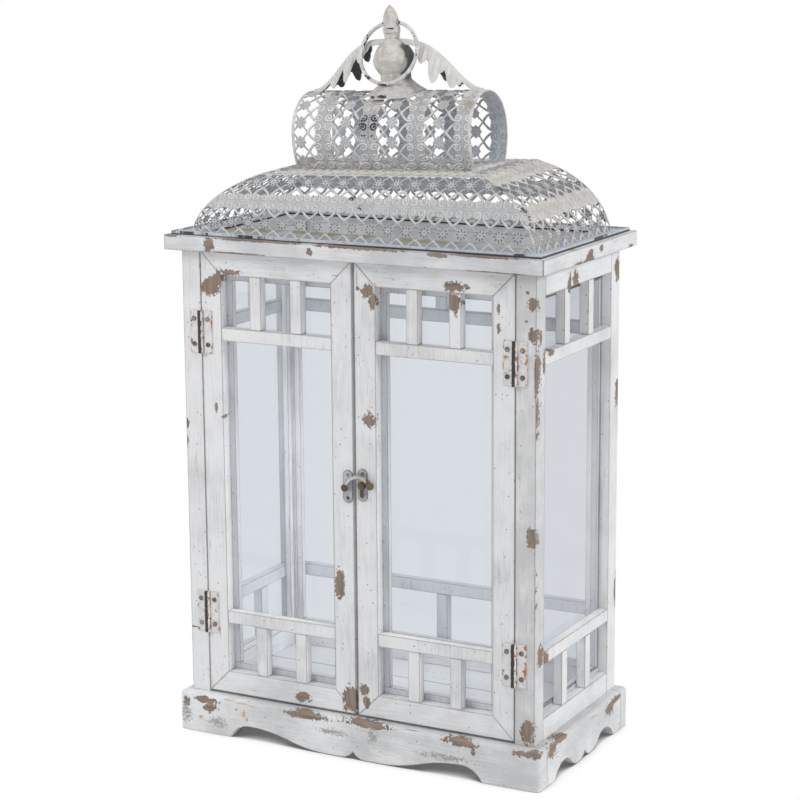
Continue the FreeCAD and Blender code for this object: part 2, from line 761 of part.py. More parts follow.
def horseshoe(inset):
    """The arch's section in the YZ plane, drawn in from the outer face and run on below the roof's top."""
    radius = size("barrel_radius") - inset
    centre = size("barrel_top") - size("barrel_radius")
    drop = centre - size("barrel_bottom")
    draw = size("barrel_radius") - size("barrel_foot")
    bend = (draw ** 2 + drop ** 2) / (2 * draw) - inset
    depth = drop + size("barrel_length") * math.tan(math.radians(size("barrel_tilt")))

    def leg(down):
        return radius - bend + math.sqrt(bend ** 2 - down ** 2)

    ends = [Vector(0, way * leg(depth), centre - depth) for way in (-1, 1)]
    crown = Part.Arc(Vector(0, -radius, centre), Vector(0, 0, centre + radius), Vector(0, radius, centre))
    back = Part.Arc(Vector(0, radius, centre), Vector(0, leg(depth / 2), centre - depth / 2), ends[1])
    front = Part.Arc(ends[0], Vector(0, -leg(depth / 2), centre - depth / 2), Vector(0, -radius, centre))
    base = Part.LineSegment(ends[1], ends[0])
    return Part.Face(Part.Wire([crown.toShape(), back.toShape(), base.toShape(), front.toShape()]))


def barrel_placement():
    """The barrel's middle on the roof's top, its right end tilted up."""
    middle = Vector(0, 0, size("barrel_bottom"))
    return FreeCAD.Placement(middle, FreeCAD.Rotation(Y_AXIS, -size("barrel_tilt")))


def arch(outer_inset, inner_inset, start, length):
    """A stretch of the horseshoe arch, open at the bottom."""
    body = horseshoe(outer_inset).extrude(Vector(length, 0, 0))
    if inner_inset is not None:
        body = body.cut(horseshoe(inner_inset).extrude(Vector(length, 0, 0)))
    body.translate(Vector(start, 0, -size("barrel_bottom")))
    return body.transformed(barrel_placement().toMatrix())


def make_barrel():
    """The arched sheet. Gives back the space that it fills."""
    half = size("barrel_length") / 2
    rim = size("barrel_rim_width")
    sheet = size("barrel_sheet")
    bottom = size("barrel_bottom")
    radius = size("barrel_radius")
    core = arch(0, None, -half, 2 * half)
    pieces = [arch(0, sheet, -half, 2 * half)]
    for start in (-half, half - rim):
        sill = Part.makeBox(rim, 2 * radius, size("barrel_sill"), Vector(start, -radius, bottom))
        pieces += [arch(-size("barrel_rim_proud"), sheet, start, rim), sill.common(core)]
    above_roof = Part.makeBox(4 * half, 4 * half, 2 * size("barrel_height"),
                              Vector(-2 * half, -2 * half, bottom))
    keep(formed("barrel", pieces[0].fuse(pieces[1:]).common(above_roof).removeSplitter()))
    return formed("barrel_core", core)


# Finial: turned pieces on one leaning axis that stands on the barrel

def lean_placement():
    """The finial's axis: its foot above the barrel, its tip leaning towards -X."""
    foot = Vector(-size("finial_offset"), 0, size("finial_foot"))
    return FreeCAD.Placement(foot, FreeCAD.Rotation(Y_AXIS, -size("finial_lean")))


def measure(text):
    """The present value of a plain number or of a named size, which may have a minus sign."""
    sign = -1 if text.startswith("-") else 1
    name = text.lstrip("-")
    return sign * (size(name) if name in OWNER else float(name))


def bowed(start, end, bend):
    """An arc between two points. A positive radius bows to the right of the way from start to end."""
    chord = end - start
    side = Vector(chord.y, -chord.x, 0).normalize()
    rise = abs(bend) - math.sqrt(bend ** 2 - (chord.Length / 2) ** 2)
    return Part.ArcOfCircle(start, (start + end) / 2 + side * math.copysign(rise, bend), end)


def hold(sketch, kind, line, end, text):
    """Hold one coordinate of a line's end at a named size, or on the sketch's axis where it is zero."""
    value = measure(text)
    if value == 0:
        axis = -2 if kind == "DistanceX" else -1
        sketch.addConstraint(Sketcher.Constraint("PointOnObject", line, end, axis))
    else:
        row = sketch.addConstraint(Sketcher.Constraint(kind, -1, 1, line, end, value))
        sketch.setExpression(f"Constraints[{row}]", qualified(text))


def turned(label, outline):
    """A turned piece. The outline lists (radius, height, bend): a bend makes an arc to the next point."""
    body = doc.addObject("PartDesign::Body", label)
    sketch = body.newObject("Sketcher::SketchObject", f"{label}_outline")
    upright = next(plane for plane in body.Origin.OriginFeatures if plane.Role == "XZ_Plane")
    sketch.AttachmentSupport = [(upright, "")]
    sketch.MapMode = "FlatFace"
    points = [Vector(measure(radius), measure(height), 0) for radius, height, bend in outline]
    first_ends = []
    for line, (radius, height, bend) in enumerate(outline):
        start, end = points[line], points[(line + 1) % len(points)]
        sketch.addGeometry(bowed(start, end, measure(bend)) if bend else Part.LineSegment(start, end))
        forwards = (sketch.getPoint(line, 1) - start).Length < 1e-6
        first_ends.append(1 if forwards else 2)
    for line, (radius, height, bend) in enumerate(outline):
        before = (line - 1) % len(outline)
        sketch.addConstraint(Sketcher.Constraint("Coincident", before, 3 - first_ends[before],
                                                 line, first_ends[line]))
        hold(sketch, "DistanceX", line, first_ends[line], radius)
        hold(sketch, "DistanceY", line, first_ends[line], height)
        if bend:
            row = sketch.addConstraint(Sketcher.Constraint("Radius", line, abs(measure(bend))))
            sketch.setExpression(f"Constraints[{row}]", qualified(bend.lstrip("-")))
    turning = body.newObject("PartDesign::Revolution", f"{label}_turning")
    turning.Profile = sketch
    turning.ReferenceAxis = (sketch, ["V_Axis"])
    turning.Angle = 360.0
    body.Tip = turning
    body.Placement = lean_placement()
    return body


def make_finial(barrel_core):
    """The three turned pieces, the carry ring and the leaf brackets."""
    skirt = turned("finial_skirt_blank", [
        ("0", "-skirt_drop", ""),
        ("skirt_foot_radius", "-skirt_drop", ""),
        ("skirt_radius", "-skirt_lip", "-skirt_curve"),
        ("neck_radius", "neck_bottom", ""),
        ("0", "neck_bottom", ""),
    ])
    ball = turned("finial_ball", [
        ("0", "neck_bottom", ""),
        ("neck_radius", "neck_bottom", ""),
        ("neck_radius", "neck_top", "ball_curve"),
        ("ball_radius", "ball_height", "shoulder_curve"),
        ("throat_radius", "throat_height", ""),
        ("throat_radius", "collar_bottom", ""),
        ("0", "collar_bottom", ""),
    ])
    bud = turned("finial_bud_blank", [
        ("0", "collar_bottom", ""),
        ("lower_collar_radius", "collar_bottom", ""),
        ("lower_collar_radius", "collar_step", ""),
        ("collar_radius", "collar_step", ""),
        ("collar_radius", "collar_top", ""),
        ("waist_radius", "waist_height", ""),
        ("bud_radius", "bud_height", "bud_curve"),
        ("tip_radius", "tip_height", ""),
        ("0", "tip_height", ""),
    ])
    hole = doc.addObject("Part::Cylinder", "ring_hole")
    bind(hole, Radius="ring_hole", Height="4 * bud_radius")
    across = FreeCAD.Placement(Vector(-2 * size("bud_radius"), 0, size("ring_hole_height")),
                               FreeCAD.Rotation(Z_AXIS, X_AXIS))
    hole.Placement = lean_placement().multiply(across)
    bud = cut("finial_bud", bud, [hole])
    keep(cut("finial_skirt", skirt, [barrel_core]), ball, bud)
    make_carry_ring()
    for side, way in (("left", -1), ("right", 1)):
        blank = formed(f"{side}_leaf_blank", leaf_blank(way))
        on_barrel = cut(f"{side}_leaf_on_barrel", blank, [barrel_core])
        below_collar = cut(f"{side}_leaf_below_collar", on_barrel, [bud])
        keep(cut(f"leaf_bracket_{side}", below_collar, [ball]))


def make_carry_ring():
    """A wire ring through the bud, hanging a little to the front around the ball."""
    ring = doc.addObject("Part::Torus", "carry_ring")
    bind(ring, Radius1="ring_radius", Radius2="ring_wire")
    tilt = math.radians(size("ring_tilt"))
    hang = Vector(0, -math.sin(tilt), -math.cos(tilt))
    centre = Vector(0, 0, size("ring_hole_height")) + hang * size("ring_drop")
    facing = FreeCAD.Rotation(Z_AXIS, Vector(0, math.cos(tilt), -math.sin(tilt)))
    ring.Placement = lean_placement().multiply(FreeCAD.Placement(centre, facing))
    keep(ring)


# Depth of a leaf below its midrib, at shares of the way from the finial to the leaf's foot
LEAF_LOBES = [
    (0.0, 5), (0.2, 5.5), (0.32, 16), (0.4, 11.5), (0.47, 25), (0.59, 9), (0.66, 16), (0.78, 9), (1.0, 5),
]


def leaf_blank(way):
    """A folded leaf whose midrib falls in an S from the finial to the barrel."""
    start = lean_placement().multVec(Vector(way * size("throat_radius") / 2, 0, size("leaf_start_height")))
    on_barrel = Vector(way * size("leaf_foot"), 0, size("barrel_height") + size("leaf_foot_height"))
    foot = barrel_placement().multVec(on_barrel)
    spread = size("leaf_spread")
    fold = math.atan(spread)
    level = size("leaf_sheet") / math.cos(fold)
    upright = size("leaf_sheet") / math.sin(fold)
    sections = []
    for share, depth in LEAF_LOBES:
        fall = (1 + math.cos(math.pi * share ** size("leaf_fall"))) / 2
        ridge = Vector(start.x + (foot.x - start.x) * share, 0, foot.z + (start.z - foot.z) * fall)
        edge = spread * depth
        corners = [(-edge, -depth), (0, 0), (edge, -depth), (edge - level, -depth), (0, -upright),
                   (level - edge, -depth), (-edge, -depth)]
        sections.append(Part.makePolygon([ridge + Vector(0, y, z) for y, z in corners]))
    return Part.makeLoft(sections, True, True)


make_plinth()
make_floor()
make_posts()
make_fixed_panels()
make_cornice()
make_door("left")
make_door("right")
make_hinges()
make_latch()
make_roof()
make_finial(make_barrel())

doc.recompute()
for item in doc.Objects:
    if "Invalid" in item.State or "Error" in item.State:
        raise RuntimeError(f"{item.Label} failed: {item.State}")
os.makedirs("parts", exist_ok=True)
for item in parts:
    if item.Shape.isNull() or not item.Shape.isValid():
        raise RuntimeError(f"{item.Label} has no valid shape")
for item in parts:
    item.Shape.exportStep(f"parts/{item.Label}.step")
print(len(parts), "parts")
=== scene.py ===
import math

import bpy
import numpy as np
from mathutils import Matrix, Vector


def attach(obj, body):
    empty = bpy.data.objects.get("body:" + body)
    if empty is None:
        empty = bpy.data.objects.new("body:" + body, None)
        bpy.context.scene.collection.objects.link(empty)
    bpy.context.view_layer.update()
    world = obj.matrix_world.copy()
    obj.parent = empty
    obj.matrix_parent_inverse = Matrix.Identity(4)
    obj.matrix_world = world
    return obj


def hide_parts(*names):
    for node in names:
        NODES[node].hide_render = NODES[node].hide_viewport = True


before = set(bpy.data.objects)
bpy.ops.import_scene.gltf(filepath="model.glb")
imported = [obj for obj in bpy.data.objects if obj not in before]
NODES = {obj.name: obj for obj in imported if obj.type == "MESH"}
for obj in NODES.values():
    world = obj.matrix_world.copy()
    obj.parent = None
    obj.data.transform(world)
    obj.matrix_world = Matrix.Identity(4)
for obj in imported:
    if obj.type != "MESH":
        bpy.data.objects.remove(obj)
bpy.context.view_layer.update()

MM = 0.001
PER_MM = 1000.0


# Shader building blocks

def add_node(tree, kind, inputs=(), **settings):
    """A shader node with its settings made, its inputs set or joined."""
    made = tree.nodes.new("ShaderNode" + kind)
    for name, value in settings.items():
        setattr(made, name, value)
    for key, value in inputs.items() if isinstance(inputs, dict) else enumerate(inputs):
        if isinstance(value, bpy.types.NodeSocket):
            tree.links.new(value, made.inputs[key])
        else:
            made.inputs[key].default_value = value
    return made


def sums(operation, a, b=0.0):
    return add_node(a.id_data, "Math", (a, b), operation=operation).outputs[0]


def times(a, b):
    return sums("MULTIPLY", a, b)


def added(a, b):
    return sums("ADD", a, b)


def less(a, b):
    return sums("SUBTRACT", a, b)


def larger(a, b):
    return sums("MAXIMUM", a, b)


def vectors(operation, a, b):
    return add_node(a.id_data, "VectorMath", (a, b), operation=operation).outputs


def axes_of(place):
    return add_node(place.id_data, "SeparateXYZ", (place,)).outputs


def span(value, low, high, first=0.0, last=1.0):
    """The value eased from first at low to last at high."""
    inputs = {"Value": value, "From Min": low, "From Max": high, "To Min": first, "To Max": last}
    return add_node(value.id_data, "MapRange", inputs, interpolation_type="SMOOTHSTEP").outputs["Result"]


def blended(share, a, b):
    return add_node(share.id_data, "Mix", {0: share, 6: a, 7: b}, data_type="RGBA").outputs[2]


def clouds(place, scale, detail=3.0, rough=0.5):
    inputs = {"Vector": place, "Scale": scale, "Detail": detail, "Roughness": rough}
    return add_node(place.id_data, "TexNoise", inputs).outputs[0]


def cells_of(place, scale):
    """Distance to the middle of the nearest of scattered cells, and the chance of that cell."""
    cells = add_node(place.id_data, "TexVoronoi", {"Vector": place, "Scale": scale}).outputs
    return cells["Distance"], add_node(place.id_data, "SeparateColor", (cells["Color"],)).outputs[0]


def scattered(place, scale, radius, least):
    """Dots of a radius in scattered cells, one in each cell whose chance is above least."""
    distance, chance = cells_of(place, scale)
    return times(span(distance, radius / 2, radius, 1, 0), span(chance, least, least + 0.05))


def colour(red, green, blue):
    return (red, green, blue, 1.0)


WHITE = colour(1, 1, 1)
INPUT_KINDS = {1: "Float", 3: "Vector", 4: "Color"}


def shader_group(*outputs, **inputs):
    """Turns a function of a place, in mm, and these inputs into a node group that has these outputs."""
    def make(build):
        tree = bpy.data.node_groups.new(build.__name__, "ShaderNodeTree")
        for label, value in {"place": (0, 0, 0), **inputs}.items():
            kind = "NodeSocket" + INPUT_KINDS[np.size(value)]
            tree.interface.new_socket(label, in_out="INPUT", socket_type=kind).default_value = value
        for label in outputs:
            kind = "NodeSocketColor" if label == "tint" else "NodeSocketFloat"
            tree.interface.new_socket(label, in_out="OUTPUT", socket_type=kind)
        given, out = tree.nodes.new("NodeGroupInput").outputs, tree.nodes.new("NodeGroupOutput").inputs
        results = build(given["place"], *(given[label] for label in inputs))
        for label, value in zip(outputs, results):
            tree.links.new(value, out[label])
        return tree
    return make


def use_group(group, place, **inputs):
    return add_node(place.id_data, "Group", {"place": place, **inputs}, node_tree=group).outputs


# Further from a patch, in its half sizes, than its edge ever wanders
FAR = 10.0


@shader_group("streak", "mottle", "crack", "speck", along=(1, 1, 1))
def paint_grain(place, along):
    """Brush streaks, soft mottling, hairline cracks, specks and nicks of old paint."""
    drawn = vectors("MULTIPLY", place, along)[0]
    line = span(sums("ABSOLUTE", less(clouds(drawn, 0.16, 3, 0.7), 0.5)), 0.0, 0.007, 1, 0)
    patch = span(clouds(place, 0.03, 2), 0.5, 0.62)
    specks = scattered(place, 0.17, 0.15, 0.52)
    nicks = scattered(drawn, 0.2, 0.13, 0.75)
    streak, mottle = clouds(drawn, 0.55, 5, 0.6), clouds(place, 0.018, 4, 0.6)
    return streak, mottle, times(line, patch), larger(specks, nicks)


@shader_group("nearest", centre=(0, 0, 0), half_size=(1, 1, 1), nearest=FAR)
def flake_patch(place, centre, half_size, nearest):
    """How near a place is to a patch of lost paint, as a share of the patch's half sizes."""
    share = vectors("DIVIDE", vectors("SUBTRACT", place, centre)[0], half_size)[0]
    reach = add_node(place.id_data, "VectorMath", (share,), operation="LENGTH").outputs["Value"]
    return [sums("MINIMUM", nearest, reach)]


@shader_group("mask", nearest=FAR, scale=0.1, ragged=1.5)
def ragged_edge(place, nearest, scale, ragged):
    """1 within a patch, its edge broken by a wander, a finer wander and flakes."""
    wander = clouds(place, scale, 4, 0.65)
    fine = clouds(place, times(scale, 4.5), 3, 0.6)
    flakes = cells_of(place, times(scale, 3))[1]
    level = added(times(fine, 0.7), times(flakes, 0.3))
    level = less(added(level, wander), 1.0)
    return [span(added(nearest, times(level, ragged)), 0.96, 1.04, 1, 0)]


@shader_group("mask", width=1.5, broken=0.5)
def edge_wear(place, width, broken):
    """Where handling has rubbed the corners to a width in mm, broken up along their length."""
    rounded = add_node(place.id_data, "Bevel", {"Radius": times(width, MM)}, samples=4).outputs[0]
    facing = add_node(place.id_data, "NewGeometry").outputs["Normal"]
    corner = span(vectors("DOT_PRODUCT", rounded, facing)["Value"], 0.9, 0.995, 1, 0)
    wander = clouds(place, 0.12, 4, 0.65)
    return [span(less(added(corner, wander), added(broken, 0.5)), 0.0, 0.12)]


@shader_group("mottle", "rust", "pits")
def metal_age(place):
    """Mottling, rust blooms and small pits of painted sheet metal."""
    rust = span(clouds(place, 0.05, 5, 0.7), 0.62, 0.72)
    pits = span(clouds(place, 0.5, 3, 0.6), 0.66, 0.74)
    return clouds(place, 0.16, 5, 0.65), rust, pits


def start_material(name):
    """A material with a Principled shader. Gives it, the shader and the place on the piece in mm."""
    made = bpy.data.materials.new(name)
    made.use_nodes = True
    tree = made.node_tree
    where = add_node(tree, "TexCoord").outputs["Object"]
    place = add_node(tree, "VectorMath", {0: where, "Scale": PER_MM}, operation="SCALE").outputs[0]
    return made, tree.nodes["Principled BSDF"], place


def finish_surface(shader, place, look, over, depth):
    """Joins a look's colour, with any marks over it, its roughness and its relief; depth is in mm."""
    tree = place.id_data
    tint = over(place, look["tint"]) if over else look["tint"]
    tree.links.new(tint, shader.inputs["Base Color"])
    tree.links.new(look["rough"], shader.inputs["Roughness"])
    bump = add_node(tree, "Bump", {"Height": look["height"], "Strength": 1.0, "Distance": depth * MM})
    tree.links.new(bump.outputs[0], shader.inputs["Normal"])


def ragged_patches(place, patches, scale, ragged):
    """1 within the listed patches, given as (centre, half size)."""
    nearest = FAR
    for centre, half_size in patches:
        nearest = use_group(flake_patch, place, centre=centre, half_size=half_size, nearest=nearest)[0]
    return use_group(ragged_edge, place, nearest=nearest, scale=scale, ragged=ragged)[0]


# Painted wood

PAINT = colour(0.78, 0.785, 0.795)
PAINT_SHADE = colour(0.56, 0.565, 0.57)
BARE_WOOD = colour(0.31, 0.245, 0.195)
BARE_WOOD_DARK = colour(0.20, 0.15, 0.115)
HAIRLINE = colour(0.21, 0.18, 0.16)
WOOD_EDGE = 1.6
PAINT_DEPTH = 0.35
GRAIN = {"x": (0.07, 1, 1), "y": (1, 0.07, 1), "z": (1, 1, 0.07)}

# Outer faces of the wood, in mm
DOOR_FACE, CORNICE_FACE, PLINTH_FACE = -87.65, -98.95, -96.65
SIDE_FACE, CORNICE_END, PLINTH_END = 171, 182.3, 180
CORNICE_TOP = 455.1
FACE_DEPTH = 9.0


# Patches on those faces as (centre, half size), in mm

def on_front(y, *patches):
    return [((x, y, z), (across, FACE_DEPTH, up)) for x, z, across, up in patches]


def on_side(x, *patches):
    return [((x, y, z), (FACE_DEPTH, across, up)) for y, z, across, up in patches]


# The thin patch down x 0 on each door bares the meeting edges: worn wood, and painted shade that darkens the
# gap between the doors.
LEFT_DOOR_CHIPS = on_front(
    DOOR_FACE, (-143, 410, 9, 8), (-135, 419, 4.5, 7), (-123, 424, 10, 3), (-6.5, 52, 7, 12),
    (-16.5, 156, 5, 13), (-55, 46, 8, 4), (-139, 303, 1.5, 5), (-131, 294, 2, 2), (-146, 96, 5, 0.8),
    (0, 240, 0.7, 260))
RIGHT_DOOR_CHIPS = on_front(
    DOOR_FACE, (13.5, 417, 6, 6), (18.5, 409, 3.2, 8), (4.7, 418.5, 1.5, 2), (98, 426, 10.5, 4.5),
    (96.5, 414, 5.6, 11), (15, 305.6, 6.3, 6), (7, 63, 4.5, 5.5), (9.5, 52, 3.3, 6), (137, 411, 1.5, 4),
    (0, 240, 0.7, 260), (137, 395, 2, 4))
POST_CHIPS = on_front(
    DOOR_FACE, (168, 415.8, 4.2, 5), (168.5, 391, 4, 5), (171, 360, 1.4, 22), (168, 219.5, 4.4, 9.5),
    (165, 50, 6.5, 12), (-170, 285, 2, 5), (-171, 268, 1.5, 6), (-152, 428, 2, 2), (-168, 96, 6, 0.8),
    (163, 426, 1.2, 1.2), (162, 402, 1.5, 1), (171.5, 325, 0.6, 28), (171.5, 170, 0.5, 24))
POST_CHIPS += on_side(
    SIDE_FACE, (82, 423, 5.5, 11), (84.6, 312, 4.5, 11.5), (-76, 114, 6, 9), (-79, 388, 2.5, 6),
    (-72, 366, 2.5, 11), (86, 130, 3, 14))
SIDE_CHIPS = on_side(
    SIDE_FACE, (-21, 424, 4, 9), (-8, 425, 6, 8), (-16, 414, 2.5, 8), (-66, 108, 5, 8), (-58, 372, 6, 3))
CORNICE_CHIPS = on_front(
    CORNICE_FACE, (-136, 449, 5, 6), (-35.6, 449.5, 2.9, 3.4), (12, 455, 40, 1.5), (-85, 455, 45, 1.2),
    (88, 453.5, 10, 2), (128, 455, 35, 1.2), (-175, 455, 8, 1.4), (-110, 443, 30, 0.6), (140, 442.5, 25, 0.6))
CORNICE_CHIPS += on_side(
    CORNICE_END, (-5, 446, 8, 6), (20, 450, 4, 3), (-25, 442.5, 8, 2.2), (84, 442.5, 5, 2.6))
PLINTH_CHIPS = on_front(
    PLINTH_FACE, (-152, 31, 13, 3), (-147, 24.5, 7, 4.5), (-173, 26, 4, 4), (-49, 33.5, 21, 3.8),
    (12, 34.5, 23, 3.6), (105, 33.5, 15, 4.2), (118, 26, 2.3, 3), (165, 32.5, 12, 2.6), (176, 34, 5, 4))
PLINTH_CHIPS += [((180.3, -96.5, 17), (0.7, 0.7, 19))]
PLINTH_CHIPS += on_side(PLINTH_END, (-70, 30, 9, 6), (-52, 34.5, 11, 3), (55, 28, 8, 6), (68, 32, 11, 2.6))


@shader_group("tint", "rough", "height", along=(1, 1, 1), soil=0.0, flaked=0.0, broken=0.5)
def old_paint(place, along, soil, flaked, broken):
    """White paint over brown wood: its colour, roughness and relief where it is whole, flaked and rubbed."""
    grain = use_group(paint_grain, place, along=along)
    # A share of darker paint for soil and painted shade; a negative share lightens the paint as painted
    # light.
    shade = times(grain["mottle"], added(soil, 0.55))
    shade = added(shade, times(grain["streak"], 0.34))
    paint = blended(span(shade, 0.36, 0.66), PAINT, PAINT_SHADE)
    marks = larger(times(grain["crack"], 0.7), grain["speck"])
    paint = blended(times(marks, 0.85), paint, HAIRLINE)
    worn = use_group(edge_wear, place, width=WOOD_EDGE, broken=broken)["mask"]
    bare = larger(flaked, worn)
    wood = blended(span(grain["streak"], 0.35, 0.65), BARE_WOOD_DARK, BARE_WOOD)
    height = less(times(grain["streak"], 0.12), bare)
    return blended(bare, paint, wood), span(bare, 0, 1, 0.52, 0.85), height


def painted_wood(name, along, chips=(), broken=0.55, soil=0.0, over=None):
    """Old white paint over brown wood, its grain along one axis, with the listed patches flaked off."""
    made, shader, place = start_material(name)
    flaked = ragged_patches(place, chips, 0.12, 1.7)
    look = use_group(old_paint, place, along=GRAIN[along], soil=soil, flaked=flaked, broken=broken)
    finish_surface(shader, place, look, over, PAINT_DEPTH)
    return made


KHAKI_WOOD = colour(0.46, 0.42, 0.22)
RAW_FRONT, RAW_BACK = -54, -28


@shader_group("mask")
def raw_strip(place):
    """Raw patches on top of the cornice's front board, seen through the roof."""
    axes = axes_of(place)
    patchy = span(clouds(place, 0.035, 2), 0.46, 0.5)
    behind = span(axes[1], RAW_FRONT, RAW_FRONT + 3)
    before = span(axes[1], RAW_BACK - 2, RAW_BACK, 1, 0)
    on_top = span(axes[2], CORNICE_TOP - 0.5, CORNICE_TOP)
    return [times(times(times(behind, before), on_top), patchy)]


def raw_inside(place, tint):
    return blended(use_group(raw_strip, place)["mask"], tint, KHAKI_WOOD)


SCRATCH = colour(0.66, 0.38, 0.19)
SCRATCHES = on_front(
    PLINTH_FACE, (-128, 34.5, 6, 0.6), (-115, 33.5, 7, 0.6), (-103, 32.5, 5, 0.5), (-120, 27, 1.2, 1.6),
    (-112, 24, 1.6, 3), (-109, 19, 1.4, 2.2), (-158, 14, 2.4, 1.6))
GRIME = colour(0.36, 0.35, 0.34)
GRIME_PATCHES = on_front(
    PLINTH_FACE, (92, 17, 18, 2.4), (-174, 16, 5, 6), (-140, 12, 7, 3.5), (-20, 22, 10, 2.2), (20, 24, 4, 5))


def scratched(place, tint):
    """Grime and orange scuffs on the front of the plinth."""
    tint = blended(ragged_patches(place, GRIME_PATCHES, 0.3, 4.5), tint, GRIME)
    return blended(ragged_patches(place, SCRATCHES, 0.4, 1.2), tint, SCRATCH)


# Metal and glass

TARNISH = colour(0.03, 0.03, 0.032)
# Near black standing for the leaves' shade: on the ball's flanks and on the leaves' inner faces.
PAINTED_LEAF_SHADE = colour(0.075, 0.077, 0.08)
METAL_SOIL = colour(0.20, 0.20, 0.205)
METAL_RECESS = colour(0.36, 0.37, 0.39)
METAL_RUST = colour(0.16, 0.105, 0.07)
# Painted shade for the rosettes' slots, also the dark metal of the screws.
SLOT_SHADE_AND_DARK_METAL = colour(0.07, 0.07, 0.075)
SHEET_PAINT_DEPTH = 0.15


@shader_group("tint", "rough", "height", light=WHITE, shade=WHITE, rust=0.3, soil=0.0, bare=0.0)
def old_metal(place, light, shade, rust, soil, bare):
    """Thin antique white on sheet metal: darker in its recesses with soil and painted shade, with rust blooms
    and bare spots.
    """
    age = use_group(metal_age, place)
    tint = blended(span(age["mottle"], 0.35, 0.68), light, shade)
    tint = blended(times(age["rust"], rust), tint, METAL_RUST)
    tint = blended(times(age["pits"], 0.45), tint, METAL_SOIL)
    recess = add_node(place.id_data, "Attribute", attribute_name="recess").outputs["Fac"]
    # Soil and painted shade in the low parts of the relief.
    tint = blended(times(span(recess, 0, 1), soil), tint, METAL_RECESS)
    # Painted shade in the slots of the rosettes.
    tint = blended(span(recess, 1.1, 1.8, 0, 0.9), tint, SLOT_SHADE_AND_DARK_METAL)
    tint = blended(times(bare, span(recess, 0.35, 0.8, 1, 0)), tint, TARNISH)
    return tint, span(age["mottle"], 0.3, 0.7, 0.48, 0.68), less(age["mottle"], age["pits"])


def aged_metal(name, light, shade, rust=0.35, soil=0.0, spots=(), over=None):
    """Painted sheet metal, worn to the metal at the listed spots."""
    made, shader, place = start_material(name)
    bare = ragged_patches(place, spots, 0.35, 1.6)
    look = use_group(old_metal, place, light=light, shade=shade, rust=rust, soil=soil, bare=bare)
    finish_surface(shader, place, look, over, SHEET_PAINT_DEPTH)
    return made


CROWN_STAIN = colour(0.36, 0.30, 0.25)
STAIN_FOOT, STAIN_FULL = 556, 580


def stained_crown(place, tint):
    """Brown weather stain along the top of the barrel."""
    high = span(axes_of(place)[2], STAIN_FOOT, STAIN_FULL)
    patchy = span(clouds(place, 0.07, 4, 0.65), 0.38, 0.7)
    return blended(times(high, patchy), tint, CROWN_STAIN)


def worn_stretches(place, tint):
    """Stretches of the ring rubbed down to dark metal."""
    worn = span(clouds(place, 0.13, 5, 0.7), 0.545, 0.575)
    return blended(worn, tint, TARNISH)


RIM_DARK_AND_SHADOW = colour(0.05, 0.055, 0.065)
RIM_OUT_X, RIM_OUT_Y = 175.6, 92.3
RIM_IN_X, RIM_IN_Y = 151.6, 68.3
SHADOW_LINE_TOP = 456.0


def rim_edges_and_shadow(place, tint):
    """The bare inner edge of the flange, stretches of its lip worn bare, and a painted shadow line along the
    foot of its outer face.
    """
    axes = axes_of(place)
    out_x, out_y = sums("ABSOLUTE", axes[0]), sums("ABSOLUTE", axes[1])
    outer = larger(span(out_x, RIM_OUT_X, RIM_OUT_X + 0.3),
                   span(out_y, RIM_OUT_Y, RIM_OUT_Y + 0.3))
    inner = times(span(out_x, RIM_IN_X - 0.2, RIM_IN_X, 1, 0),
                  span(out_y, RIM_IN_Y - 0.2, RIM_IN_Y, 1, 0))
    stretch = vectors("MULTIPLY", place, (0.5, 0.5, 0.05))[0]
    worn = span(clouds(stretch, 0.06, 5, 0.65), 0.54, 0.58)
    # Painted shadow along the foot of the outer face, widening to the right.
    foot = less(axes[2], span(axes[0], -60, 60, 0, 0.7))
    dark = larger(worn, span(foot, SHADOW_LINE_TOP, SHADOW_LINE_TOP + 0.3, 1, 0))
    dark = larger(times(outer, dark), inner)
    return blended(dark, tint, RIM_DARK_AND_SHADOW)


BALL_X = -4.9
SHADOW_HALF = 9.0
SHADOW_FOOT, SHADOW_TOP = 586, 622


def leaf_shadow_on_ball(place, tint):
    """Painted shadow of the leaves on the ball's flanks."""
    axes = axes_of(place)
    wander = times(less(clouds(place, 0.15, 3), 0.5), 6.0)
    across = added(sums("ABSOLUTE", axes[1]), wander)
    out = sums("ABSOLUTE", less(axes[0], BALL_X))
    flank = span(across, SHADOW_HALF - 1.5, SHADOW_HALF + 1.5, 1, 0)
    flank = times(flank, span(out, 8, 11))
    above = span(axes[2], SHADOW_FOOT, SHADOW_FOOT + 6)
    below = span(axes[2], SHADOW_TOP - 4, SHADOW_TOP, 1, 0)
    high = times(times(above, below), 0.92)
    return blended(times(flank, high), tint, PAINTED_LEAF_SHADE)


HARDWARE_DEPTH = 0.08


@shader_group("tint", "rough", "height", light=WHITE, dark=WHITE, rust_colour=WHITE, rust=0.5, broken=0.75,
              edge=0.8)
def old_hardware(place, light, dark, rust_colour, rust, broken, edge):
    """Hardware metal with worn lustre, and rust in blooms and along its edges."""
    age = use_group(metal_age, place)
    tint = blended(span(age["mottle"], 0.35, 0.65), light, dark)
    worn = use_group(edge_wear, place, width=edge, broken=broken)["mask"]
    rusty = times(larger(age["rust"], worn), rust)
    rough = span(added(age["mottle"], rusty), 0.3, 1.0, 0.32, 0.8)
    return blended(rusty, tint, rust_colour), rough, age["mottle"]


def bare_metal(name, light, dark, metallic, rust, rust_colour, broken=0.75, edge=0.8, over=None):
    """Hardware metal with a share of rust on it."""
    made, shader, place = start_material(name)
    look = use_group(old_hardware, place, light=light, dark=dark, rust=rust, rust_colour=rust_colour,
                     broken=broken, edge=edge)
    finish_surface(shader, place, look, over, HARDWARE_DEPTH)
    shader.inputs["Metallic"].default_value = metallic
    return made


HINGE_X, HINGE_Y = 152.4, -90.15
KNUCKLE_STRIPE = 1.5
KNUCKLE_METAL = colour(0.035, 0.032, 0.03)
LEAF_RUST = colour(0.42, 0.15, 0.04)
LEAF_OUTER = 11.0


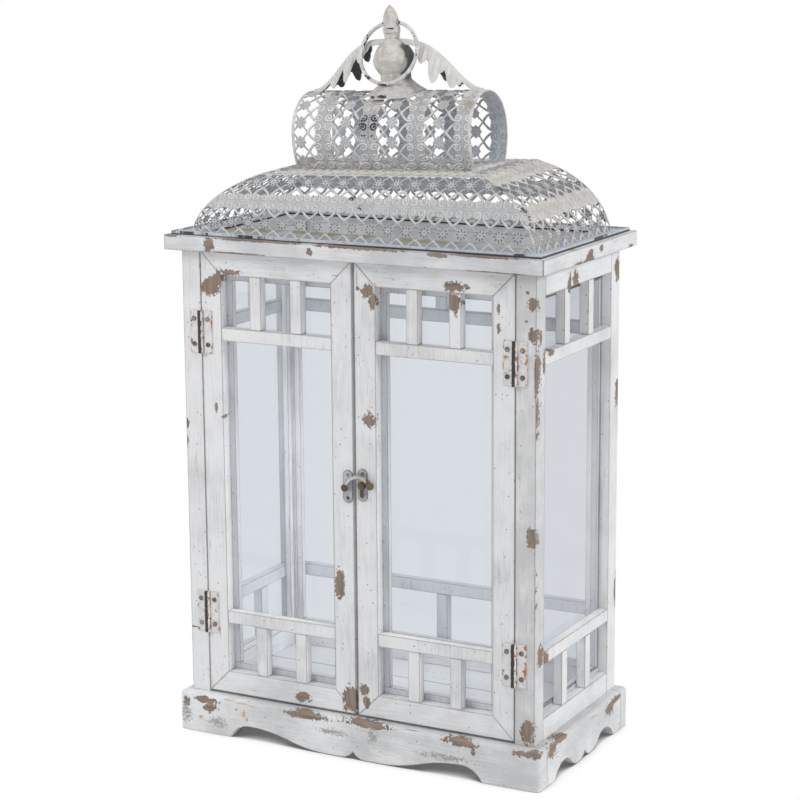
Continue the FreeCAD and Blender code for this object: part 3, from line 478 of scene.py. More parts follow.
def rusted_hinges(place, tint):
    """Rust at the outer edges and along the hinge lines, and a dark stripe where the knuckles are rubbed."""
    axes = axes_of(place)
    off = sums("ABSOLUTE", less(sums("ABSOLUTE", axes[0]), HINGE_X))
    outer, inner = span(off, LEAF_OUTER - 4, LEAF_OUTER), span(off, 2, 5, 1, 0)
    near_edge = times(larger(outer, inner), 0.11)
    bloom = added(clouds(place, 0.22, 4, 0.65), near_edge)
    tint = blended(span(bloom, 0.62, 0.7), tint, LEAF_RUST)
    wander = added(off, times(clouds(place, 0.25, 3), 1.6))
    proud = span(axes[1], HINGE_Y - 1.2, HINGE_Y - 0.8, 1, 0)
    stripe = span(wander, KNUCKLE_STRIPE + 0.7, KNUCKLE_STRIPE + 1.1, 1, 0)
    return blended(times(stripe, proud), tint, KNUCKLE_METAL)


BRONZE = colour(0.15, 0.105, 0.065)
KNOB_WIDTH = 6.6


def bronze_knob(place, tint):
    """The ball at the far end of the latch arm."""
    reach = max(vertex.co.x for vertex in NODES["latch_arm"].data.vertices) * PER_MM
    neck = reach - KNOB_WIDTH
    return blended(span(axes_of(place)[0], neck - 0.6, neck), tint, BRONZE)


GLASS_TINT = colour(0.82, 0.842, 0.872)
# A darker copy of the window glass for the right side pane, painted shade for that pane.
SHADED_SIDE_GLASS_TINT = colour(0.715, 0.735, 0.772)
GLASS_SHADOW = colour(0.99, 0.995, 1.0)


@shader_group("height")
def glass_wave(place):
    return [clouds(place, 0.012, 1)]


def clear_glass(name, tint):
    """Window glass, faintly wavy, that lets lamp light and daylight through."""
    made, shader, place = start_material(name)
    tree = made.node_tree
    shader.inputs["Base Color"].default_value = tint
    shader.inputs["Roughness"].default_value = 0.0
    shader.inputs["IOR"].default_value = 1.45
    shader.inputs["Transmission Weight"].default_value = 1.0
    wave = use_group(glass_wave, place)["height"]
    bump = add_node(tree, "Bump", {"Height": wave, "Strength": 0.3, "Distance": 0.2 * MM})
    tree.links.new(bump.outputs[0], shader.inputs["Normal"])
    path = add_node(tree, "LightPath").outputs
    through = add_node(tree, "BsdfTransparent", (GLASS_SHADOW,)).outputs[0]
    shaded = add_node(tree, "MixShader", (path["Is Shadow Ray"], shader.outputs[0], through)).outputs[0]
    mixed = add_node(tree, "MixShader", (path["Is Diffuse Ray"], shaded, through)).outputs[0]
    tree.links.new(mixed, tree.nodes["Material Output"].inputs["Surface"])
    return made


# Pierced sheet: hearts and curls along solid bands, rosettes between, all in mm of the flat pattern

PITCH = 17.2
BAND_GAP = 45.0
BAND_HALF = 7.2
CURL = (4.4, 5.2)
CURL_RADIUS = 3.1
WIRE_HALF = 1.15
RIDGE_HALF = 0.85
THIN_HALF = 0.5
BEAD_PITCH = PITCH / 8
BEAD_RADIUS = 0.8
ROSETTE = (PITCH / 2, BAND_GAP / 2)
ROSETTE_EYE = 1.8
EYE_DOME = 1.5
EYE_DARK = 0.8
PETALS = 8
PETAL_RING, PETAL_LENGTH, PETAL_WIDTH = 3.6, 2.1, 1.35
SLOT_RING, SLOT_LENGTH, SLOT_WIDTH = 3.7, 1.7, 0.9
SLOT_STEEP, EYE_STEEP = 1.8, 2.0
SLOT_DEPTH = 0.7
HEART_HEIGHT, CELL_HEIGHT, BEAD_HEIGHT, PETAL_HEIGHT, EYE_HEIGHT = 0.9, 0.15, 0.5, 0.8, 0.6
RECESS_HEIGHT = 0.5
PLAIN_HEIGHT = 0.3
PLAIN_RECESS = 0.3
SHEET = 0.8
SHARP_ANGLE = math.radians(60)
WIRE_STEPS = 4
HEART_WIRE = [(0, 15.0), (2.2, 13.4), (4.6, 11.2), (6.5, 8.8), (7.4, 6.2), (7.0, 3.8), (5.4, 2.3), (3.4, 2.6),
              (2.2, 4.4), (2.6, 6.6), (4.1, 7.4), (5.3, 6.5), (5.2, 5.1), (4.3, 4.9)]
CELL_WIRE = [(0, 15.0), (1.6, 16.4), (3.3, 17.9), (4.8, 19.2)]


def smooth_line(points, steps):
    """Points along a smooth curve through the given ones."""
    points = np.array(points, float)
    padded = np.vstack([2 * points[0] - points[1], points, 2 * points[-1] - points[-2]])
    t = np.linspace(0, 1, steps, endpoint=False)[:, None]
    runs = []
    for p0, p1, p2, p3 in zip(padded, padded[1:], padded[2:], padded[3:]):
        runs.append(0.5 * (2 * p1 + (p2 - p0) * t + (2 * p0 - 5 * p1 + 4 * p2 - p3) * t ** 2
                           + (3 * p1 - p0 - 3 * p2 + p3) * t ** 3))
    return np.vstack(runs + [points[-1:]])


def distance_to_line(u, v, line):
    nearest = np.full(u.shape, np.inf)
    for (u0, v0), (u1, v1) in zip(line, line[1:]):
        du, dv = u1 - u0, v1 - v0
        share = np.clip(((u - u0) * du + (v - v0) * dv) / (du * du + dv * dv), 0, 1)
        nearest = np.minimum(nearest, np.hypot(u - u0 - share * du, v - v0 - share * dv))
    return nearest


def folded(value, period):
    """Distance to the nearest whole period."""
    return np.abs((value + period / 2) % period - period / 2)


def dome(distance, radius):
    return np.clip(1 - (distance / radius) ** 2, 0, None)


WIRES = smooth_line(HEART_WIRE, WIRE_STEPS), smooth_line(CELL_WIRE, WIRE_STEPS)


def lace(along, across, slots=1.0, petal_width=PETAL_WIDTH, thin=THIN_HALF):
    """How far inside the metal a point lies, the height of its relief, and how dark its recess is, with
    painted shade in the rosettes' slots.
    """
    u = folded(along, PITCH)
    v = folded(across, BAND_GAP)
    heart, cell = (distance_to_line(u, v, wire) for wire in WIRES)
    curl = np.hypot(u - CURL[0], v - CURL[1])
    rose_u, rose_v = u - ROSETTE[0], v - ROSETTE[1]
    rose = np.hypot(rose_u, rose_v)
    turn = folded(np.arctan2(rose_v, rose_u), 2 * math.pi / PETALS)
    out, aside = rose * np.cos(turn), rose * np.sin(turn)
    petal = np.hypot((out - PETAL_RING) / PETAL_LENGTH, aside / petal_width)
    slot = np.hypot((out - SLOT_RING) / SLOT_LENGTH, aside / SLOT_WIDTH)

    inside = np.maximum.reduce([BAND_HALF - v, CURL_RADIUS - curl, WIRE_HALF - heart, thin - cell,
                                (1 - petal) * petal_width, ROSETTE_EYE - rose])
    # Painted shade in the rosettes' slots, which stand for piercings that look dark, and a dark middle to
    # each rosette.
    dark = np.maximum(SLOT_STEEP * (1 - slot), EYE_STEEP * (1 - rose / EYE_DARK))
    dark = slots * np.clip(dark, 0, 1)
    beads = np.hypot(folded(along, BEAD_PITCH), v)
    height = np.maximum.reduce([HEART_HEIGHT * dome(heart, RIDGE_HALF), CELL_HEIGHT * dome(cell, thin),
                                BEAD_HEIGHT * dome(beads, BEAD_RADIUS), PETAL_HEIGHT * dome(petal, 1),
                                EYE_HEIGHT * dome(rose, EYE_DOME)])
    height = height * (1 - SLOT_DEPTH * dark)
    recess = np.clip(1 - height / RECESS_HEIGHT, 0, 1)
    return inside, height, np.where(dark > 0, 1 + dark, recess)


# Faces of a grid cell for each set of its corners A to D in the metal, with 0 to 3 the points on its edges
CELL_CASES = {
    1: ["A03"], 2: ["B10"], 3: ["AB13"], 4: ["C21"], 5: ["A03", "C21"], 6: ["BC20"], 7: ["ABC23"],
    8: ["D32"], 9: ["A02D"], 10: ["B10", "D32"], 11: ["AB12D"], 12: ["CD31"], 13: ["A01CD"],
    14: ["BCD30"], 15: ["ABCD"],
}
LEAST_SHARE = 0.12
LEVEL = 1e-12


def grid_line(low, high, cell):
    return np.linspace(low, high, round((high - low) / cell) + 1)


def cut_out(first, second, pattern):
    """The metal of a pattern on a grid: its points on the flat sheet, their relief and recess, and faces."""
    a, b = np.meshgrid(first, second, indexing="ij")
    inside = pattern(a, b)[0]
    rows, columns = inside.shape
    solid = inside > 0

    def crossing(near, far):
        gap = near - far
        slopes = np.abs(gap) > LEVEL
        share = np.where(slopes, near / np.where(slopes, gap, 1), 0.5)
        return np.clip(share, LEAST_SHARE, 1 - LEAST_SHARE)

    on_rows = crossing(inside[:-1], inside[1:])
    on_columns = crossing(inside[:, :-1], inside[:, 1:])
    points = np.vstack([
        np.column_stack([a.ravel(), b.ravel()]),
        np.column_stack([(a[:-1] + on_rows * (a[1:] - a[:-1])).ravel(), b[:-1].ravel()]),
        np.column_stack([a[:, :-1].ravel(), (b[:, :-1] + on_columns * (b[:, 1:] - b[:, :-1])).ravel()]),
    ])
    corner = np.arange(rows * columns).reshape(rows, columns)
    row_edge = np.arange((rows - 1) * columns).reshape(rows - 1, columns) + corner.size
    column_edge = np.arange(rows * (columns - 1)).reshape(rows, columns - 1) + corner.size + row_edge.size
    numbers = {
        "A": corner[:-1, :-1], "B": corner[1:, :-1], "C": corner[1:, 1:], "D": corner[:-1, 1:],
        "0": row_edge[:, :-1], "1": column_edge[1:], "2": row_edge[:, 1:], "3": column_edge[:-1],
    }
    kind = solid[:-1, :-1] + 2 * solid[1:, :-1] + 4 * solid[1:, 1:] + 8 * solid[:-1, 1:]
    faces = []
    for case, shapes in CELL_CASES.items():
        where = kind == case
        for shape in shapes:
            faces += np.column_stack([numbers[letter][where] for letter in shape]).tolist()
    used = np.unique(np.concatenate([np.array(face) for face in faces]))
    renumber = np.zeros(len(points), int)
    renumber[used] = np.arange(len(used))
    along, across = points[used].T
    height, recess = pattern(along, across)[1:]
    return along, across, height, recess, [[int(renumber[n]) for n in face] for face in faces]


def make_piece(name, points, faces, node, materials, thickness=SHEET, recess=None):
    """A sheet piece that stands for a CAD node, thickened inwards; the last material is its inner face's."""
    mesh = bpy.data.meshes.new(name)
    mesh.from_pydata((np.asarray(points) * MM).tolist(), [], faces)
    if recess is not None:
        mesh.attributes.new("recess", "FLOAT", "POINT").data.foreach_set("value", recess.astype(np.float32))
    for material in materials:
        mesh.materials.append(material)
    made = bpy.data.objects.new(name, mesh)
    bpy.context.scene.collection.objects.link(made)
    if thickness:
        solid = made.modifiers.new("thickness", "SOLIDIFY")
        solid.thickness = thickness * MM
        solid.offset = -1
        solid.material_offset = len(materials) - 1
        whole = bpy.data.meshes.new_from_object(made.evaluated_get(bpy.context.evaluated_depsgraph_get()))
        made.modifiers.clear()
        made.data = whole
        whole.name = name
    made.data.polygons.foreach_set("use_smooth", np.ones(len(made.data.polygons), bool))
    made.data.set_sharp_from_angle(angle=SHARP_ANGLE)
    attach(made, "case")
    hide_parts(node)


# Roof panels

FIRST_ANGLE = math.radians(7.5)
LAST_ANGLE = math.radians(66)
ROOF_BOTTOM = 456.7
ROOF_RISE = 60.8
HALF_LENGTH, END_INSET = 165.5, 58.0
HALF_DEPTH, SIDE_INSET = 79.0, 23.5
ROOF_CELLS = 34
PROFILE_STEPS = 400
TOP_FOLD = 0.8
HIP_STRIP = 0.9
FRONT_BAND = 35.1
END_BAND = 34.0
FRONT_HEARTS = -65.5
TOP_SHEET = 1.0

# The sheet has settled: its top leans down to the left and the front
TOP_MIDDLE = 513.2
TOP_RISE_X = 0.034
TOP_RISE_Y = 0.03


def roof_top(x, y):
    return TOP_MIDDLE + TOP_RISE_X * x + TOP_RISE_Y * y


def settled(points):
    """Roof points moved down by their share of the settling of the top."""
    x, y, z = points.T
    share = (z - ROOF_BOTTOM) / (ROOF_RISE + TOP_SHEET)
    return np.column_stack([x, y, z + share * (roof_top(x, y) - ROOF_BOTTOM - ROOF_RISE - TOP_SHEET)])


def roof_profile(base, inset):
    """A panel's angles, distances out, heights, lengths along its slope, and the two radii of its curve."""
    angles = np.linspace(FIRST_ANGLE, LAST_ANGLE, PROFILE_STEPS)
    wide = inset / (math.cos(FIRST_ANGLE) - math.cos(LAST_ANGLE))
    high = ROOF_RISE / (math.sin(LAST_ANGLE) - math.sin(FIRST_ANGLE))
    out = base + wide * (np.cos(angles) - math.cos(FIRST_ANGLE))
    up = ROOF_BOTTOM + high * (np.sin(angles) - math.sin(FIRST_ANGLE))
    slope = np.concatenate([[0], np.cumsum(np.hypot(np.diff(out), np.diff(up)))])
    return angles, out, up, slope, wide, high


def roof_panel(side, turn, base, inset, half_length, run, band, hearts, materials):
    """One curved side of the roof, pierced, with a thin seam at its hips and along its top."""
    angles, out, up, slope, wide, high = roof_profile(base, inset)
    length = slope[-1]
    narrowing = half_length - run * (base - out) / inset

    def pattern(x, s):
        inside, height, recess = lace(x - hearts, s - band)
        to_hip = np.interp(s, slope, narrowing) - np.abs(x)
        plain = np.maximum(HIP_STRIP - to_hip, s - (length - TOP_FOLD))
        height = np.where(plain > 0, PLAIN_HEIGHT, height)
        recess = np.where(plain > 0, PLAIN_RECESS, recess)
        return np.minimum(np.maximum(inside, plain), to_hip), height, recess

    cell = PITCH / ROOF_CELLS
    steps = math.ceil(half_length / cell)
    first = np.arange(-steps, steps + 1) * cell + hearts - round(hearts / cell) * cell
    x, s, height, recess, faces = cut_out(first, grid_line(0, length, cell), pattern)
    angle = np.interp(s, slope, angles)
    normal_out, normal_up = high * np.cos(angle), wide * np.sin(angle)
    scale = np.hypot(normal_out, normal_up)
    outward = np.interp(s, slope, out) + height * normal_out / scale
    upward = np.interp(s, slope, up) + height * normal_up / scale
    turned = np.column_stack([x * math.cos(turn) + outward * math.sin(turn),
                              x * math.sin(turn) - outward * math.cos(turn), upward])
    make_piece(f"lace_roof_{side}_panel", settled(turned), faces, f"roof_{side}_panel", materials,
               recess=recess)


def roof_top_lace(materials):
    """The flat top, on which the pattern of each side runs on."""
    half_x, half_y = HALF_LENGTH - END_INSET, HALF_DEPTH - SIDE_INSET
    front_length = roof_profile(HALF_DEPTH, SIDE_INSET)[3][-1]
    end_length = roof_profile(HALF_LENGTH, END_INSET)[3][-1]

    def pattern(x, y):
        from_front, from_end = half_y - np.abs(y), half_x - np.abs(x)
        front = lace(x - FRONT_HEARTS, front_length + from_front - FRONT_BAND)
        end = lace(y, end_length + from_end - END_BAND)
        inside, height, recess = (np.where(from_front < from_end, a, b) for a, b in zip(front, end))
        fold = TOP_FOLD - np.minimum(from_front, from_end)
        return np.maximum(inside, fold), np.where(fold > 0, PLAIN_HEIGHT, height), recess

    cell = PITCH / ROOF_CELLS
    first, second = grid_line(-half_x, half_x, cell), grid_line(-half_y, half_y, cell)
    x, y, height, recess, faces = cut_out(first, second, pattern)
    points = np.column_stack([x, y, roof_top(x, y) + height - PLAIN_HEIGHT])
    make_piece("lace_roof_top", points, faces, "roof_top_plate", materials, recess=recess)


# Barrel on the roof

BARREL_HALF = 87.2
BARREL_RADIUS = 36.0
BARREL_BASE = 518.5
BARREL_CENTRE = 23.7
BARREL_FOOT = 31.0
BARREL_TILT = math.radians(2)
LEG_DEPTH = 36.5
FOOT_STRIP = 0.9
BARREL_RIM = 3.0
BARREL_RIM_PROUD = 0.75
BARREL_CELLS = 32
BARREL_BAND = -10.9
BARREL_HEARTS = 3.3
BARREL_SLOTS = 0.3
BARREL_PETAL = 1.75
BARREL_THIN = 0.8
SILL_BOTTOM = 514.0
SILL_TOP = 518.4
SILL_HALF = 30.5


def on_barrel(x, z):
    """Place of a point given along the barrel and above its base, with the tilt."""
    return (x * math.cos(BARREL_TILT) - z * math.sin(BARREL_TILT),
            BARREL_BASE + z * math.cos(BARREL_TILT) + x * math.sin(BARREL_TILT))


def barrel_lace(materials):
    """The pierced arch of horseshoe section, tilted on the roof, with a rolled rim at each end."""
    draw = BARREL_RADIUS - BARREL_FOOT
    bend = (draw ** 2 + BARREL_CENTRE ** 2) / (2 * draw)
    leg = bend * math.asin(LEG_DEPTH / bend)
    crown = math.pi * BARREL_RADIUS

    def section(t):
        """Place and outward direction at a length t along the section from its front foot."""
        low = t < leg
        far = t > leg + crown
        fall = np.where(low, leg - t, np.where(far, t - leg - crown, 0)) / bend
        side = np.where(far, 1.0, -1.0)
        turn = np.clip((t - leg) / BARREL_RADIUS, 0, math.pi)
        legs = low | far
        y = np.where(legs, side * (BARREL_RADIUS - bend * (1 - np.cos(fall))), -BARREL_RADIUS * np.cos(turn))
        z = np.where(legs, BARREL_CENTRE - bend * np.sin(fall), BARREL_CENTRE + BARREL_RADIUS * np.sin(turn))
        out_y = np.where(legs, side * np.cos(fall), -np.cos(turn))
        out_z = np.where(legs, -np.sin(fall), np.sin(turn))
        return y, z, out_y, out_z

    def pattern(x, t):
        inside, height, recess = lace(t - leg - BARREL_HEARTS, x - BARREL_BAND, BARREL_SLOTS, BARREL_PETAL,
                                      BARREL_THIN)
        rim = np.abs(x) - (BARREL_HALF - BARREL_RIM)
        y, z = section(t)[:2]
        world_x, world_z = on_barrel(x, z)
        above = world_z - roof_top(world_x, y)
        rolled = BARREL_RIM_PROUD * np.sqrt(dome(rim - BARREL_RIM / 2, BARREL_RIM / 2))
        inside = np.minimum(np.maximum.reduce([inside, rim, FOOT_STRIP - above]), above)
        plain = (rim > 0) | (above < FOOT_STRIP)
        return inside, np.where(rim > 0, rolled, height), np.where(plain, PLAIN_RECESS, recess)

    cell = PITCH / BARREL_CELLS
    first, second = grid_line(-BARREL_HALF, BARREL_HALF, cell), grid_line(0, 2 * leg + crown, cell)
    x, t, height, recess, faces = cut_out(first, second, pattern)
    y, z, out_y, out_z = section(t)
    world_x, world_z = on_barrel(x, z + out_z * height)
    points = np.column_stack([world_x, y + out_y * height, world_z])
    make_piece("lace_barrel", points, faces, "barrel", materials, recess=recess)


def barrel_sills(material):
    """The flat bar across the foot of the arch at each end."""
    points, faces = [], []
    for inner, outer in ((-BARREL_HALF, BARREL_RIM - BARREL_HALF), (BARREL_HALF - BARREL_RIM, BARREL_HALF)):
        n = len(points)
        points += [(x, y, z) for x in (inner, outer) for y in (-SILL_HALF, SILL_HALF)
                   for z in (SILL_BOTTOM, SILL_TOP)]
        faces += [[n + k for k in face] for face in
                  ((0, 1, 3, 2), (4, 6, 7, 5), (0, 4, 5, 1), (2, 3, 7, 6), (1, 5, 7, 3), (0, 2, 6, 4))]
    make_piece("barrel_sills", points, faces, "barrel", [material], thickness=0)


# Leaf brackets between the finial and the barrel

LEAF_FOOT = (83.0, 61.9)
LEAF_FALL = 1.5
LEAF_LENGTH_STEPS = 160
LEAF_DROP_STEPS = 18
LEAF_SPREAD = 0.52
LEAF_SHEET = 0.9
LEAF_STRIP = 5.0
LEAF_START = {"left": (-9.66, 622.7), "right": (-3.49, 623.3)}
LEAF_LOBES = [(0.28, 0.04, 5.0), (0.335, 0.06, 11.5), (0.39, 0.035, 5.5), (0.43, 0.04, 9.0),
              (0.485, 0.07, 20.5), (0.545, 0.04, 8.5), (0.61, 0.04, 5.5), (0.665, 0.066, 11.5),
              (0.725, 0.04, 5.0)]
LEAF_SWELL = 0.25
LEAF_OVERLAP = 1.0
VEIN_HALF = 0.2
VEIN_DEPTH = 0.8
VEIN_RECESS = 0.5
LIP_START = 0.75
LIP_CURL = 0.4


def leaf_bracket(side, materials):
    """A folded acanthus leaf: lobes hang to the front and back of a midrib that falls in an S."""
    way = -1 if side == "left" else 1
    start_x, start_z = LEAF_START[side]
    foot_x, foot_z = on_barrel(way * LEAF_FOOT[0], LEAF_FOOT[1])
    share = np.linspace(0, 1, LEAF_LENGTH_STEPS + 1)
    ridge_x = start_x + (foot_x - start_x) * share
    ridge_z = foot_z + (start_z - foot_z) * (1 + np.cos(math.pi * share ** LEAF_FALL)) / 2
    crown = on_barrel(ridge_x, BARREL_CENTRE + BARREL_RADIUS)[1]
    depth = np.full(share.shape, LEAF_STRIP)
    vein = np.zeros(share.shape)
    swell = np.zeros(share.shape)
    for centre, half, drop in LEAF_LOBES:
        across = (share - centre) / half
        reach = np.sqrt(dome(across, 1))
        depth = np.maximum(depth, LEAF_STRIP + drop * reach)
        swell = np.maximum(swell, dome(across, 1))
        vein = np.maximum(vein, np.exp(-(across / VEIN_HALF) ** 2))
    depth = np.minimum(depth, ridge_z - crown + LEAF_OVERLAP)
    down = np.linspace(-1, 1, 2 * LEAF_DROP_STEPS + 1)
    drop = np.abs(down)
    points, recess = [], []
    for i in range(len(share)):
        width = LEAF_SPREAD * depth[i] * (1 - LEAF_SWELL + LEAF_SWELL * swell[i])
        bulge = np.sin(drop * math.pi / 2) ** 0.8 * width
        groove = vein[i] * np.sin(drop * math.pi) ** 0.7
        lip = np.clip(drop - LIP_START, 0, None) ** 2 * depth[i] * LIP_CURL
        y = np.sign(down) * (bulge - VEIN_DEPTH * groove + lip)
        z = ridge_z[i] - depth[i] * drop
        points.append(np.column_stack([np.full(len(down), ridge_x[i]), y, z]))
        recess.append(VEIN_RECESS * groove)
    columns = len(down)
    faces = [[i * columns + j, (i + 1) * columns + j, (i + 1) * columns + j + 1, i * columns + j + 1]
             for i in range(len(share) - 1) for j in range(columns - 1)]
    if side == "left":
        faces = [face[::-1] for face in faces]
    make_piece(f"acanthus_{side}", np.vstack(points), faces, f"leaf_bracket_{side}", materials, LEAF_SHEET,
               np.concatenate(recess))


# Finishes of the pieces

BEVEL_WIDTH = 0.7 * MM
BEVEL_ANGLE = math.radians(40)
WELD_GAP = 0.005 * MM


def ease_corners(*names):
    """Rounds the arrises of wooden pieces."""
    for name in names:
        weld = NODES[name].modifiers.new("joined_corners", "WELD")
        weld.merge_threshold = WELD_GAP
        bevel = NODES[name].modifiers.new("eased_corners", "BEVEL")
        bevel.width = BEVEL_WIDTH
        bevel.segments = 2
        bevel.limit_method = "ANGLE"
        bevel.angle_limit = BEVEL_ANGLE


def dress(material, *names):
    for name in names:
        NODES[name].data.materials.clear()
        NODES[name].data.materials.append(material)


# Name of the finish, way of the grain, its settings, and the pieces that have it
WOOD_FINISHES = [
    ("left_door_paint_upright", "z", {"chips": LEFT_DOOR_CHIPS},
     ["left_door_stiles", "left_door_glazing_bars"]),
    ("left_door_paint_level", "x", {"chips": LEFT_DOOR_CHIPS}, ["left_door_rails"]),
    ("right_door_paint_upright", "z", {"chips": RIGHT_DOOR_CHIPS},
     ["right_door_stiles", "right_door_glazing_bars"]),
    ("right_door_paint_level", "x", {"chips": RIGHT_DOOR_CHIPS}, ["right_door_rails"]),
    ("post_paint", "z", {"chips": POST_CHIPS}, ["post_front_left", "post_back_right"]),
    # Darker paint on the right front post, and the back left post with it, is painted shade for the light
    # falling off to the right.
    ("soiled_post_paint", "z", {"chips": POST_CHIPS, "soil": 0.27}, ["post_front_right", "post_back_left"]),
    ("side_rail_paint", "y", {"chips": SIDE_CHIPS}, ["left_side_rails", "right_side_rails"]),
    # The back rails get lighter paint, painted light that brightens the inside of the case.
    ("back_rail_painted_light", "x", {"soil": -0.15}, ["back_rails"]),
    ("glazing_bar_paint", "z", {"chips": SIDE_CHIPS},
     ["left_side_glazing_bars", "right_side_glazing_bars", "back_glazing_bars"]),
    ("cornice_paint_long", "x", {"chips": CORNICE_CHIPS, "broken": 0.5, "soil": 0.22, "over": raw_inside},
     ["cornice_front", "cornice_back"]),
    ("cornice_paint_short", "y", {"chips": CORNICE_CHIPS, "broken": 0.5, "soil": 0.05, "over": raw_inside},
     ["cornice_left", "cornice_right"]),
    ("plinth_paint_long", "x", {"chips": PLINTH_CHIPS, "broken": 0.5, "soil": 0.17, "over": scratched},
     ["plinth_front", "plinth_back"]),
    ("plinth_paint_short", "y", {"chips": PLINTH_CHIPS, "broken": 0.5, "soil": 0.13},
     ["plinth_left", "plinth_right"]),
    # The floor planks get lighter paint, painted light that brightens the inside of the case.
    ("floor_plank_painted_light", "x", {"broken": 0.7, "soil": -0.2}, ["floor_planks"]),
    ("glazing_bead_paint", "z", {"broken": 0.7},
     ["case_glazing_beads", "left_door_glazing_beads", "right_door_glazing_beads"]),
]


def dress_wood():
    for name, along, settings, pieces in WOOD_FINISHES:
        dress(painted_wood(name, along, **settings), *pieces)
        ease_corners(*pieces)


ROOF_SPOTS = [
    ((150, -66, 488), (5, 5, 9)), ((152, -74, 468), (4, 4, 5)), ((-9, -71, 493), (4, 4, 2.5)),
    ((0, -72, 485), (3, 3, 3)), ((128, -62, 507), (5, 5, 3)),
]
BARREL_SPOTS = [((-12, -34, 552), (10, 6, 13)), ((-56, -20, 575), (6, 8, 2)), ((88, -20, 524), (3, 6, 4))]
RING_SPOTS = [((-33, -6, 627), (2, 2, 6)), ((-28, -2, 634), (3, 3, 2)), ((22, -12, 596), (1.5, 2, 1.5)),
              ((17, -14, 592), (1.5, 2, 1.5)), ((-7, -19, 584), (6, 3, 2))]
FINIAL_SPOTS = [((-4, -7, 632), (4, 3, 0.7)), ((-4, -7, 645), (0.8, 1, 0.8)), ((-4, -24, 575), (4, 3, 1.5)),
                ((-15, -22, 574), (3, 4, 1.2))]


def dress_metal():
    grey, grey_shade = colour(0.68, 0.67, 0.65), colour(0.54, 0.535, 0.53)
    tan, tan_shade = colour(0.72, 0.68, 0.64), colour(0.58, 0.545, 0.51)
    # The roof's inner face is lighter than its outside, painted light for the shaded inside of the roof.
    inner = aged_metal("lace_inner_painted_light", colour(0.76, 0.79, 0.83), colour(0.66, 0.69, 0.73), rust=0.2)
    barrel_inner = aged_metal("barrel_inner_paint", colour(0.60, 0.63, 0.67), colour(0.48, 0.505, 0.535),
                              rust=0.2)
    lace_front = aged_metal("roof_lace_paint", grey, grey_shade, soil=0.55, spots=ROOF_SPOTS)
    lace_end = aged_metal("roof_end_lace_paint", tan, tan_shade, soil=0.5, spots=ROOF_SPOTS)
    lace_barrel_paint = aged_metal("barrel_lace_paint", colour(0.76, 0.745, 0.72), grey_shade, soil=0.8,
                                   spots=BARREL_SPOTS, over=stained_crown)
    smooth = aged_metal("finial_paint", colour(0.64, 0.62, 0.60), colour(0.47, 0.435, 0.405), rust=0.35,
                        spots=FINIAL_SPOTS, over=leaf_shadow_on_ball)
    leaf = aged_metal("leaf_paint", colour(0.70, 0.685, 0.66), colour(0.60, 0.585, 0.56), rust=0.1, soil=0.8)
    # The leaves' inner faces are painted near black as painted shade.
    leaf_inside_shade = aged_metal("leaf_inner_painted_shade", PAINTED_LEAF_SHADE, colour(0.11, 0.112, 0.115), rust=0.1)
    wire = aged_metal("ring_paint", colour(0.72, 0.71, 0.69), colour(0.5, 0.5, 0.5), rust=0.5,
                      spots=RING_SPOTS, over=worn_stretches)
    flange = aged_metal("roof_flange_paint", colour(0.58, 0.63, 0.67), colour(0.46, 0.50, 0.54), rust=0.3,
                        over=rim_edges_and_shadow)
    dress(flange, "roof_rim")
    dress(smooth, "finial_skirt", "finial_ball", "finial_bud")
    dress(wire, "carry_ring")
    long_side = HALF_DEPTH, SIDE_INSET, HALF_LENGTH, END_INSET, FRONT_BAND, FRONT_HEARTS, [lace_front, inner]
    short_side = HALF_LENGTH, END_INSET, HALF_DEPTH, SIDE_INSET, END_BAND, 0, [lace_end, inner]
    roof_panel("front", 0, *long_side)
    roof_panel("right", math.pi / 2, *short_side)
    roof_panel("back", math.pi, *long_side)
    roof_panel("left", -math.pi / 2, *short_side)
    barrel_lace([lace_barrel_paint, barrel_inner])
    barrel_sills(lace_barrel_paint)
    roof_top_lace([lace_end, inner])
    leaf_bracket("left", [leaf, leaf_inside_shade])
    leaf_bracket("right", [leaf, leaf_inside_shade])


def dress_hardware():
    rust_orange = colour(0.45, 0.16, 0.04)
    rust_brown = colour(0.16, 0.08, 0.045)
    leaves = bare_metal("hinge_leaf_metal", colour(0.76, 0.755, 0.75), colour(0.66, 0.65, 0.64), 0.1, 0.6,
                        rust_orange, broken=0.75, over=rusted_hinges)
    pins = bare_metal("hinge_pin_metal", colour(0.04, 0.038, 0.036), colour(0.09, 0.085, 0.08), 0.7, 0.3,
                      rust_brown)
    screws = bare_metal("screw_metal", colour(0.34, 0.34, 0.34), colour(0.08, 0.08, 0.08), 0.5, 0.95,
                        SLOT_SHADE_AND_DARK_METAL, broken=0.1)
    plates = bare_metal("latch_plate_metal", colour(0.50, 0.53, 0.56), colour(0.36, 0.38, 0.40), 0.4, 0.85,
                        rust_brown, broken=0.1, edge=1.8)
    bronze = bare_metal("latch_bronze", BRONZE, colour(0.09, 0.065, 0.045), 0.6, 0.6, rust_brown, broken=0.3)
    arm = bare_metal("latch_arm_metal", colour(0.58, 0.59, 0.58), colour(0.42, 0.42, 0.40), 0.3, 0.9,
                     rust_brown, broken=0.15, edge=1.6, over=bronze_knob)
    dress(leaves, "left_door_hinge_leaves", "right_door_hinge_leaves", "post_hinge_leaves")
    dress(pins, "hinge_pins")
    dress(screws, "left_door_screws", "right_door_screws", "post_screws", "left_latch_nails",
          "right_latch_nails")
    dress(plates, "latch_arm_plate", "latch_peg_plate")
    dress(bronze, "latch_rivet", "latch_peg")
    dress(arm, "latch_arm")


dress_wood()
dress_metal()
dress_hardware()
dress(clear_glass("window_glass", GLASS_TINT), "left_door_glass", "right_door_glass", "back_glass",
      "left_side_glass")
dress(clear_glass("shaded_side_window_glass", SHADED_SIDE_GLASS_TINT), "right_side_glass")


# Camera, floor and light

